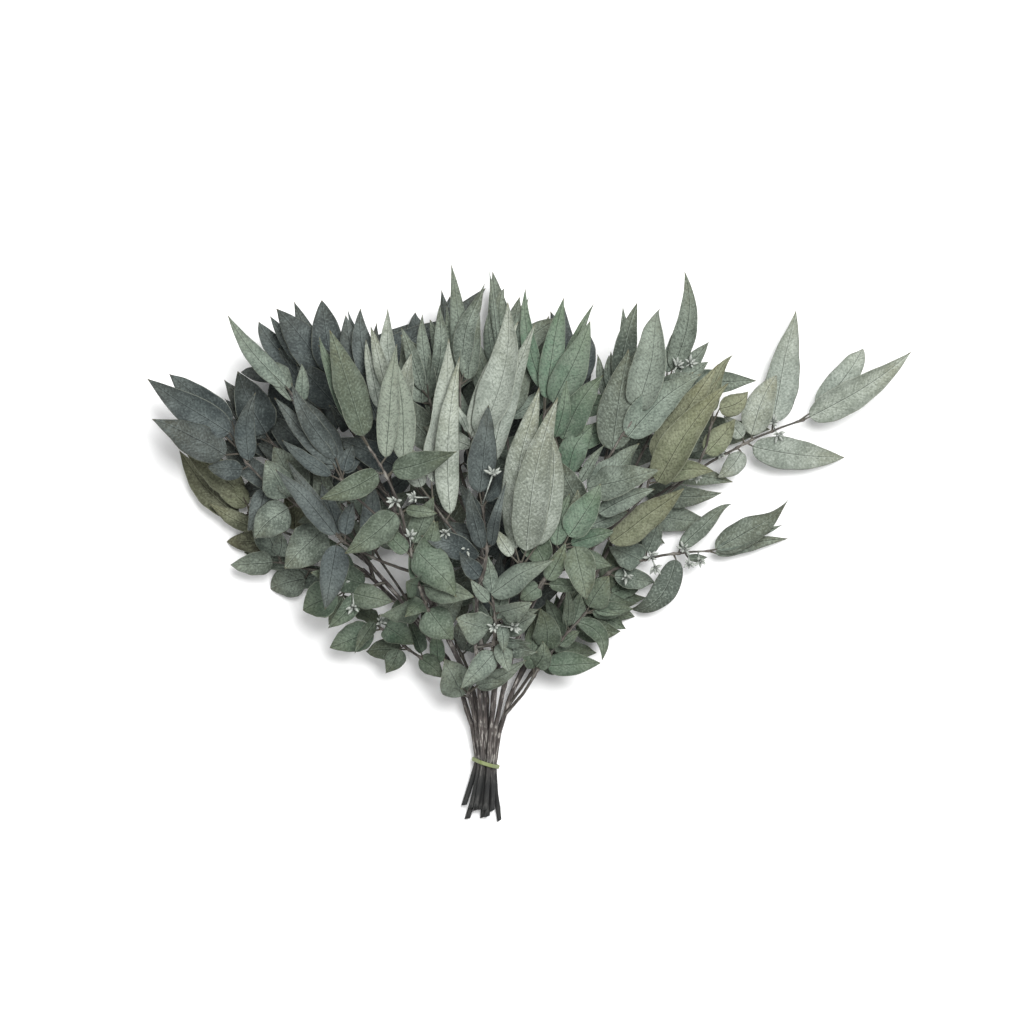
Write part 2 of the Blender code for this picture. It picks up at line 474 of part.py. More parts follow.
class Growth:
    """What stands already, and the test of whether one more piece finds room."""

    def __init__(self) -> None:
        """Start with nothing standing."""
        self.standing: list[tuple[str, Surface, Surface]] = []
        self.roof = np.full(GRID, -1.0)
        self.cover = np.zeros(GRID, bool)
        self.shaded = np.zeros(GRID, bool)

    def clear(self, owner: str, whole: Surface, part: Surface) -> bool:
        """Whether a piece touches nothing: its own spray only counts beyond the stalks."""
        if whole.low[2] < -GAP:
            return False
        return not any(part.meets(theirs) if name == owner else whole.meets(surface)
                       for name, surface, theirs in self.standing)

    def add(self, owner: str, whole: Surface, part: Surface | None = None) -> None:
        """Let a piece stand."""
        self.standing.append((owner, whole, part or whole))

    @staticmethod
    def cells(blade: Blade) -> tuple[np.ndarray, np.ndarray]:
        """The plan cells that a blade covers, and its height over each."""
        u = np.linspace(0.03, 0.97, 30)
        spine, sides, _ = blade.course(u)
        reach = np.linspace(-0.9, 0.9, 9)[None, :, None] * blade.half_width(u)[:, None, None]
        spots = (spine[:, None] + sides[:, None] * reach).reshape(-1, 3)
        index = ((spots[:, :2] - PLAN_LOW) / CELL).astype(int)
        return np.clip(index, 0, np.array(GRID) - 1), spots[:, 2]

    def roofed(self, blade: Blade) -> None:
        """Note a blade that is meant to be seen from above."""
        index, heights = self.cells(blade)
        np.maximum.at(self.roof, tuple(index.T), heights)

    def shade(self, blade: Blade) -> None:
        """Note a blade that hides the surface below it."""
        index, _ = self.cells(blade)
        self.shaded[tuple(index.T)] = True

    def fresh(self, blade: Blade) -> int:
        """How many cells a blade would hide that are not hidden yet, in steps of FRESH_STEP."""
        index, _ = self.cells(blade)
        spots = np.unique(index @ (GRID[1], 1))
        return int((~self.shaded.ravel()[spots]).sum()) // FRESH_STEP

    def close_cover(self) -> None:
        """The plan of the bunch: the blades seen from above, with the gaps between them closed.

        The plan is widened by WIDEN cells and then narrowed by NARROW, which fills a gap but
        hardly moves the outline.
        """
        cover = self.roof > 0
        for _ in range(WIDEN):
            cover = spread(cover)
        for _ in range(NARROW):
            cover = ~spread(~cover)
        self.cover = cover

    def shift_to_origin(self) -> np.ndarray:
        """The move that puts the middle of the bunch's box over the origin, and its underside at zero."""
        low = np.min([surface.low for _, surface, _ in self.standing], axis=0)
        high = np.max([surface.high for _, surface, _ in self.standing], axis=0)
        return -np.array((*(low + high)[:2] / 2, low[2]))

    def hidden(self, blade: Blade) -> bool:
        """Whether a blade stays under the seen ones and inside the bunch's plan."""
        index, heights = self.cells(blade)
        over = heights > self.roof[tuple(index.T)]
        covers = over & (self.roof[tuple(index.T)] > 0)
        outside = ~self.cover[tuple(index.T)]
        return covers.mean() < MOST_COVERED and outside.mean() < MOST_OUTSIDE


@dataclass
class Twig:
    """A spray in place: the twig's path and radii, and its leaves."""

    spray: Spray
    path: np.ndarray
    radii: np.ndarray
    blades: list[Blade]


def stem_path(stem: Stem) -> tuple[np.ndarray, float]:
    """A stem's path from its cut end to its top, and the tie's place along it as a share."""
    x, z = stem.tie
    tie = (x, TIE_Y + TIE_TILT * (x - TIE_X), z)
    path = smooth((stem.cut, tie, *stem.rise), STEM_STEP)
    run = np.concatenate([[0], np.cumsum(np.linalg.norm(np.diff(path, axis=0), axis=1))])
    at_tie = np.argmin(np.linalg.norm(path - tie, axis=1))
    return path, run[at_tie] / run[-1]


def stem_radii(stem: Stem, path: np.ndarray) -> np.ndarray:
    """A stem's radius at each point, thinning to its top."""
    return stem.radius * np.linspace(1, STEM_TOP_SHARE, len(path))


def grow_twig(growth: Growth, spray: Spray) -> Twig:
    """The twig on its route, moved up or down until it finds room, starting just clear of its stem."""
    stem = STEMS[spray.stem - 1]
    stem_line, tie_share = stem_path(stem)
    root = along(stem_line, tie_share + spray.start * (1 - tie_share))
    for rise in TWIG_RISES:
        shift = np.array((0, 0, rise))
        whole_path = smooth((tuple(root), *(tuple(shift + point) for point in spray.route)), TWIG_STEP / 4)
        for skipped in np.arange(0.0, 0.6, 0.02):
            count = max(3, round(len(whole_path) / 4 * (1 - skipped)) + 1)
            path = along(whole_path, np.linspace(skipped, 1, count))
            radii = np.linspace(TWIG_FOOT, TWIG_END, count)
            if growth.clear(spray.name, tube(path, radii + GAP), tube(path, radii + GAP)):
                return Twig(spray, path, radii, [])
    raise ValueError(f"{spray.name} finds no room")


def seeded(*key: int) -> np.random.Generator:
    """A source of chance for one leaf, the same on each run."""
    return np.random.default_rng((SEED, *key))


def listed_blades(twig: Twig, leaf: Leaf, chance: np.random.Generator) -> Iterator[Blade]:
    """A listed leaf as planned, and then raised, lowered, rolled, arched or shortened by steps."""
    arch, roll, twist = chance.normal(0.03, 0.03), chance.normal(0, 0.2), chance.normal(0, 0.25)
    bow, hook = leaf.bow + chance.normal(0, SWAY), leaf.hook + abs(chance.normal(0, CURL))
    shares = np.linspace(0, 1, 80)
    line = along(twig.path, shares)
    away = np.linalg.norm(line[:, :2] - leaf.base, axis=1)
    nearest = np.argmin(away)
    length = path_length(twig.path)
    spare = END_SPARE / length
    foot = along(twig.path, np.clip(shares[nearest] - 0.4 * away[nearest] / length, spare, 1 - spare))
    tip = np.array(leaf.tip, float)
    flat = np.linalg.norm(tip[:2] - leaf.base)
    level = foot[2] + (tip[2] - foot[2]) * away[nearest] / (away[nearest] + flat)
    base = np.array((*leaf.base, level))
    for short, rise, turn, lift in product(SHORTER, RISES, TURNS, LIFTS):
        lifted = base + (0, 0, 0.25 * rise)
        end = lifted + (tip + (0, 0, rise) - lifted) * short
        yield Blade(foot, lifted, end, leaf.width * (0.5 + short / 2), bow, arch + lift,
                    hook, roll + turn, twist)


def filling_blades(twig: Twig, order: int, chance: np.random.Generator) -> Iterator[Blade]:
    """A leaf of the filling, tried all round its twig, then more slanted and shorter."""
    spray = twig.spray
    length = spray.fill_length * chance.uniform(0.8, 1.2)
    width = length * chance.uniform(*FILL_WIDTHS) * (LONG_FILL / spray.fill_length) ** SHORT_ROUNDER
    arch, twist, roll = chance.normal(0.04, 0.05), chance.normal(0, 0.4), chance.normal(0, 0.35)
    spare = END_SPARE / path_length(twig.path)
    share = np.clip(1 - 0.85 * order / spray.fill, 0.1, 1 - spare)
    foot, ahead = along(twig.path, share), along(twig.path, share - 0.05)
    tangent = unit(foot - ahead)
    across, up = frames(tangent)
    for short, slant, step in product(SHORTER[::2], SLANTS, range(ROUND_TRIES)):
        turn = GOLDEN_ANGLE * order + step * 2 * np.pi / ROUND_TRIES
        heading = unit(tangent * np.cos(slant) + (across * np.cos(turn) + up * np.sin(turn) * 0.6)
                       * np.sin(slant))
        base = foot + heading * FILL_STALK
        tip = base + heading * length * short
        tip[2] = max(tip[2], LOWEST_TIP)
        yield Blade(foot, base, tip, width * short, 0.0, arch, 0.0, roll, twist)


def path_length(path: np.ndarray) -> float:
    """The length of a path."""
    return float(np.linalg.norm(np.diff(path, axis=0), axis=1).sum())


def settle(growth: Growth, twig: Twig, candidates: Iterator[Blade], hidden: bool) -> bool:
    """Give the twig the first of these leaves that finds room; of hidden ones, the best at closing a gap."""
    for blade in sorted(candidates, key=growth.fresh, reverse=True) if hidden else candidates:
        if hidden and not growth.hidden(blade):
            continue
        whole = Surface.of(blade.rings(GROWN))
        part = Surface.of(blade.rings(GROWN, whole=False)[1:])
        if growth.clear(twig.spray.name, whole, part):
            growth.add(twig.spray.name, Surface.of(blade.rings()),
                       Surface.of(blade.rings(whole=False)[1:]))
            growth.shade(blade)
            twig.blades.append(blade)
            return True
    return False


def grow_bunch() -> tuple[list[Twig], Growth]:
    """Set the stems, then the twigs, then the listed leaves and last the filling."""
    growth = Growth()
    for number, stem in enumerate(STEMS, 1):
        path, _ = stem_path(stem)
        whole = tube(path, stem_radii(stem, path) + GAP)
        if not growth.clear("", whole, whole):
            raise ValueError(f"stem {number} meets {[n for n, s, _ in growth.standing if whole.meets(s)]}")
        growth.add(f"stem_{number:02d}", tube(path, stem_radii(stem, path)))
    twigs = []
    for spray in SPRAYS:
        twig = grow_twig(growth, spray)
        growth.add(spray.name, tube(twig.path, twig.radii))
        twigs.append(twig)
    for index, twig in enumerate(twigs):
        for order, leaf in enumerate(twig.spray.leaves):
            if settle(growth, twig, listed_blades(twig, leaf, seeded(index, order)), hidden=False):
                growth.roofed(twig.blades[-1])
    growth.close_cover()
    for index, twig in enumerate(twigs):
        for order in range(twig.spray.fill):
            settle(growth, twig, filling_blades(twig, order, seeded(index, 100 + order)), hidden=True)
    return twigs, growth


def clear_scene() -> None:
    """Start from an empty scene."""
    for thing in list(bpy.data.objects):
        bpy.data.objects.remove(thing, do_unlink=True)


def finish(name: str, colour: tuple[float, float, float], roughness: float) -> bpy.types.Material:
    """A plain finish of one colour."""
    material = bpy.data.materials.new(name)
    material.use_nodes = True
    shader = material.node_tree.nodes["Principled BSDF"]
    shader.inputs["Base Color"].default_value = (*colour, 1)
    shader.inputs["Roughness"].default_value = roughness
    shader.inputs["Metallic"].default_value = 0
    return material


def curve_object(name: str, path: np.ndarray, radii: np.ndarray, home: bpy.types.Collection,
                 closed: bool = False) -> bpy.types.Object:
    """A round rod along a path, with filled ends."""
    curve = bpy.data.curves.new(name, "CURVE")
    curve.dimensions = "3D"
    curve.bevel_depth = MM
    curve.bevel_resolution = 1 if radii.max() > THIN_ROD else 0
    curve.use_fill_caps = not closed
    line = curve.splines.new("POLY")
    line.points.add(len(path) - 1)
    line.use_cyclic_u = closed
    for point, place, radius in zip(line.points, path * MM, radii):
        point.co = (*place, 1)
        point.radius = radius
    rod = bpy.data.objects.new(name, curve)
    home.objects.link(rod)
    return rod


def tidy_mesh(mesh: bpy.types.Mesh) -> None:
    """Join the mesh's doubled points, and turn its faces outwards."""
    shape = bmesh.new()
    shape.from_mesh(mesh)
    bmesh.ops.remove_doubles(shape, verts=shape.verts, dist=WELD)
    bmesh.ops.recalc_face_normals(shape, faces=shape.faces)
    shape.to_mesh(mesh)
    shape.free()


def as_mesh(rod: bpy.types.Object) -> bpy.types.Object:
    """The same rod as a mesh whose end caps are joined to its side."""
    bpy.context.view_layer.update()
    graph = bpy.context.evaluated_depsgraph_get()
    mesh = bpy.data.meshes.new_from_object(rod.evaluated_get(graph))
    tidy_mesh(mesh)
    solid = bpy.data.objects.new(rod.name, mesh)
    solid.matrix_world = rod.matrix_world
    home = rod.users_collection[0]
    name = rod.name
    bpy.data.objects.remove(rod)
    solid.name = name
    home.objects.link(solid)
    return solid


def leaves_object(name: str, blades: list[Blade], shift: np.ndarray,
                  home: bpy.types.Collection) -> bpy.types.Object:
    """The leaves of one spray: each a loft from a thin stalk to a flat keeled blade."""
    points, faces, first = [], [], 0
    for blade in blades:
        skin = Surface.of(blade.rings())
        points.append((skin.points + shift) * MM)
        faces += [tuple(first + corner for corner in face) for face in skin.faces]
        first += len(skin.points)
    mesh = bpy.data.meshes.new(name)
    mesh.from_pydata(np.vstack(points).tolist(), [], faces)
    tidy_mesh(mesh)
    leaves = bpy.data.objects.new(name, mesh)
    leaves.hide_render = True
    leaves.display_type = "WIRE"
    home.objects.link(leaves)
    return leaves


def hull_outline(spots: np.ndarray) -> np.ndarray:
    """The convex outline round some flat points, anticlockwise."""
    ordered = sorted(map(tuple, spots))

    def half(points: list) -> list:
        """One side of the outline."""
        chain: list = []
        for point in points:
            while len(chain) > 1 and np.cross(np.subtract(chain[-1], chain[-2]),
                                              np.subtract(point, chain[-2])) <= 0:
                chain.pop()
            chain.append(point)
        return chain[:-1]

    return np.array(half(ordered) + half(ordered[::-1]))


def band_path() -> np.ndarray:
    """The band's middle line, the tight outline round the stems, flat in the tilted plane of the tie."""
    turn = 2 * np.pi * np.arange(BAND_POINTS) / BAND_POINTS
    circle = np.stack([np.cos(turn), np.sin(turn)], axis=1)
    spots = [stem.tie + circle * (stem.radius + BAND_GAP + BAND_THICK / 2) for stem in STEMS]
    x, z = hull_outline(np.vstack(spots)).T
    return np.stack([(x - TIE_X) * np.hypot(1, TIE_TILT), z, 0 * x], axis=1)


def build_band(shift: np.ndarray, home: bpy.types.Collection) -> None:
    """The flat rubber band round the stems, turned up from its own plane into the tie's."""
    path = band_path()
    band = curve_object("rubber_band", path, np.ones(len(path)), home, closed=True)
    band.data.bevel_depth = BAND_THICK / 2 * MM
    band.data.extrude = (BAND_WIDTH - BAND_THICK) / 2 * MM
    band.data.twist_mode = "Z_UP"
    band.data.materials.append(finish("band_rubber", *BAND_LOOK))
    band.location = (shift + (TIE_X, TIE_Y, 0)) * MM
    band.rotation_euler = (np.pi / 2, 0, np.arctan(TIE_TILT))


def build_stems(shift: np.ndarray, home: bpy.types.Collection) -> None:
    """The cut stems."""
    bark = finish("stem_bark", *BARK_LOOK)
    for number, stem in enumerate(STEMS, 1):
        path, _ = stem_path(stem)
        rod = curve_object(f"stem_{number:02d}", path + shift, stem_radii(stem, path), home)
        rod.data.materials.append(bark)


def build_sprays(twigs: list[Twig], shift: np.ndarray, home: bpy.types.Collection,
                 helpers: bpy.types.Collection) -> None:
    """Each spray: its twig with its leaves joined on."""
    finishes = {tone: finish(tone.value, LEAF_COLOURS[tone], LEAF_ROUGHNESS) for tone in Tone}
    for twig in twigs:
        name = f"spray_{twig.spray.name}"
        solid = as_mesh(curve_object(name, twig.path + shift, twig.radii, home))
        join = solid.modifiers.new("leaves", "BOOLEAN")
        join.operation = "UNION"
        join.solver = "EXACT"
        join.use_self = True
        join.object = leaves_object(f"{name}_leaves", twig.blades, shift, helpers)
        solid.data.materials.append(finishes[twig.spray.tone])
        solid.data.shade_smooth()


def build() -> None:
    """Make the whole bunch."""
    clear_scene()
    home = bpy.data.collections.new("dried_eucalyptus_bunch")
    helpers = bpy.data.collections.new("helpers")
    bpy.context.scene.collection.children.link(home)
    bpy.context.scene.collection.children.link(helpers)
    twigs, growth = grow_bunch()
    shift = growth.shift_to_origin()
    build_stems(shift, home)
    build_band(shift, home)
    build_sprays(twigs, shift, home, helpers)


build()
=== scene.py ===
"""A bunch of dried willow eucalyptus on a pale floor, seen from straight above.

The stems, twigs, leaves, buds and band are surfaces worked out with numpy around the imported
solids. Plans are in millimetres, and meshes are in metres.
"""

import logging
from collections.abc import Iterator
from dataclasses import dataclass, field
from enum import Enum, IntEnum
from itertools import product

import bpy
import numpy as np
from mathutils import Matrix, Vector
from mathutils.bvhtree import BVHTree


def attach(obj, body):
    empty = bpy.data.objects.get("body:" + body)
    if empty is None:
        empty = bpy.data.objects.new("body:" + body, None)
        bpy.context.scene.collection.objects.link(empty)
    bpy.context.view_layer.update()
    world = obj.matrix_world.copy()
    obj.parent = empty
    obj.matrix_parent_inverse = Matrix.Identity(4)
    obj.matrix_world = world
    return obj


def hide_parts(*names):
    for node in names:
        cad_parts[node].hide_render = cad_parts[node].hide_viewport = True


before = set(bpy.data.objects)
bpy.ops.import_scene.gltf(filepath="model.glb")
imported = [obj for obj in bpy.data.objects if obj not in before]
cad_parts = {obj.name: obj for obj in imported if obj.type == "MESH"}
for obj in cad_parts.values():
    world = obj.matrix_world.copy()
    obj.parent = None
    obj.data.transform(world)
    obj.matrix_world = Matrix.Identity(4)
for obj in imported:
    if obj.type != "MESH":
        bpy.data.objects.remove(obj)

log = logging.getLogger("eucalyptus_bunch")

Point = tuple[float, float, float]


class Tone(Enum):
    """The leaf colours of the bunch, from its shaded side to its bleached one: partly the leaves' own tones,
    partly painted light and shade, the darker ones set on the shaded side and under the seen leaves.
    """

    SLATE = "leaf_slate"
    GREY = "leaf_grey_green"
    PALE = "leaf_pale"
    GREEN = "leaf_green"
    OLIVE = "leaf_olive"


@dataclass(frozen=True)
class Leaf:
    """One leaf, in millimetres: where its blade starts and ends, and its shape.

    bow bends it sideways and hook turns its tip over, both as shares of its length.
    """

    base: tuple[float, float]
    tip: Point
    width: float
    bow: float = 0.0
    hook: float = 0.0


@dataclass(frozen=True)
class Stem:
    """One cut stem, in millimetres: its place in the tie, and the points that it runs through."""

    tie: tuple[float, float]
    cut: Point
    radius: float
    rise: tuple[Point, ...]


@dataclass(frozen=True)
class Spray:
    """A leafy side twig, in millimetres: the stem it leaves, where, its route and its leaves.

    fill leaves are placed by rule, fill_length long, where the listed leaves leave room.
    """

    name: str
    stem: int
    start: float
    route: tuple[Point, ...]
    tone: Tone
    leaves: tuple[Leaf, ...] = ()
    fill: int = 0
    fill_length: float = 55.0


def leaf(bx: float, by: float, tx: float, ty: float, tz: float, width: float,
         bow: float = 0.0, hook: float = 0.0) -> Leaf:
    """A leaf from its blade's start (bx, by) to its tip (tx, ty, tz)."""
    return Leaf((bx, by), (tx, ty, tz), width, bow, hook)


# ---- driving dimensions, in millimetres ----
TIE_Y = -169.0  # where the band holds the stems
TIE_TILT = -0.32  # the band runs down to the right: millimetres of y for each of x
TIE_X = -36.0
GAP = 0.35  # kept between neighbouring pieces
STEM_TOP_SHARE = 0.72  # a stem's radius at its top, as a share of that at its cut end
TWIG_FOOT, TWIG_END = 1.25, 0.75  # a twig's radius where it leaves the stem and at its end
STALK = 0.5  # a leaf stalk's half width
MIDRIB = 1.0  # a leaf's thickness along its midrib
FOLD = 0.06  # how far a blade's edges stand above its midrib, as a share of its half width
BLADE_IN, BLADE_OUT = 0.50, 0.92  # powers of the blade's outline, from the stalk and to the tip
LOWEST_TIP = 1.2  # a filling leaf's tip stays this high

STEM_STEP = 26.0  # between the points of a stem's path
TWIG_STEP = 20.0  # between the points of a twig's path
LONGER_BLADES = (46.0, 80.0)  # past each of these lengths a blade has one section more
STATION_POWER = 1.3  # crowds a blade's sections towards its stalk
GROWN = 0.6  # how much a leaf is thickened while it looks for room

# ---- how a piece looks for room ----
SEED = 20
TWIG_RISES = (0, 3, -3, 6, -6, 9, -9, 13, -13, 18)
SHORTER = (1.0, 0.88, 0.75, 0.62)
RISES = (0, 3, -3, 6, -6, 10, -10, 14, -14, 19, -19, 25, -25)
TURNS = (0.0, 0.3, -0.3, 0.6, -0.6)
LIFTS = (0.0, 0.06, -0.05)
SLANTS = (0.6, 0.9, 1.25)  # between a filling leaf and its twig
GOLDEN_ANGLE = 2.4
ROUND_TRIES = 8  # ways round its twig that a filling leaf tries
FILL_STALK = 6.0
FILL_WIDTHS = 0.25, 0.36  # a filling leaf's width as a share of its length, once that is LONG_FILL
LONG_FILL, SHORT_ROUNDER = 60.0, 0.8  # shorter ones are rounder, by this power
SWAY, CURL = 0.03, 0.05  # spread of a listed leaf's own bow and hook
# The middle and spread of a listed leaf's arch, roll and twist, and of a filling one's.
LISTED_POSE = ((0.03, 0.03), (0, 0.2), (0, 0.25))
FILLING_POSE = ((0.04, 0.05), (0, 0.35), (0, 0.4))
FOOT_BACK = 0.4  # a stalk leaves its twig this share of its reach before the nearest point
BASE_RISE = 0.25  # a blade's start follows its tip up or down by this share
FILL_LENGTHS = (0.8, 1.2)
FILLED_SHARE, FIRST_FILL = 0.85, 0.1  # the filling takes this share of its twig, down to the second
FLATTENED = 0.6  # a filling leaf leans up or down less than sideways, by this factor
END_SPARE = 1.5  # the nearest that a leaf's foot comes to its twig's ends

# ---- the plan of what shows from above ----
CELL = 3.0
WIDEN, NARROW = 6, 6  # cells that the plan is widened by and then narrowed by
MOST_COVERED, MOST_OUTSIDE = 0.12, 0.05  # shares of a filling leaf over a seen one, and outside the plan
FRESH_STEP = 5
GRID = (220, 160)
PLAN_LOW = np.array((-330.0, -240.0))
UP = np.array((0.0, 0.0, 1.0))

STEMS = (
    Stem((-40.6, 4.4), (-50.5, -213.0, 2.3), 2.1, ((-50, -112, 9), (-88, -62, 12), (-132, -18, 14))),
    Stem((-36.0, 4.4), (-38.5, -212.0, 2.3), 2.1, ((-36, -112, 10), (-42, -50, 20), (-46, 30, 32))),
    Stem((-31.4, 4.4), (-31.5, -207.0, 2.2), 2.0, ((-15, -112, 9), (14, -66, 15), (46, -30, 24))),
    Stem((-42.9, 8.4), (-53.0, -202.0, 5.6), 2.1, ((-55, -112, 17), (-88, -58, 34), (-132, -6, 46))),
    Stem((-38.3, 8.4), (-43.8, -206.0, 6.6), 2.0, ((-46, -112, 18), (-78, -45, 40), (-112, 42, 52))),
    Stem((-33.7, 8.4), (-35.0, -211.0, 6.6), 2.1, ((-30, -112, 18), (-20, -45, 40), (-6, 50, 60))),
    Stem((-29.1, 8.4), (-25.5, -214.5, 2.0), 1.8, ((-18, -118, 17), (8, -66, 34), (54, 12, 52))),
    Stem((-40.6, 12.4), (-47.4, -204.0, 10.8), 2.0, ((-48, -112, 27), (-68, -60, 58), (-92, 2, 86))),
    Stem((-36.0, 12.4), (-39.8, -205.0, 9.8), 2.1, ((-37, -112, 28), (-40, -52, 58), (-38, 14, 82))),
    Stem((-31.4, 12.4), (-31.0, -206.0, 11.0), 2.0, ((-23, -112, 27), (-4, -52, 56), (22, -2, 76))),
    Stem((-38.3, 16.4), (-43.6, -203.0, 14.6), 1.9, ((-41, -112, 37), (-43, -70, 70), (-42, -30, 96))),
    Stem((-33.7, 16.4), (-36.5, -205.0, 15.6), 1.9, ((-29, -112, 37), (-20, -70, 70), (-8, -38, 94))),
)

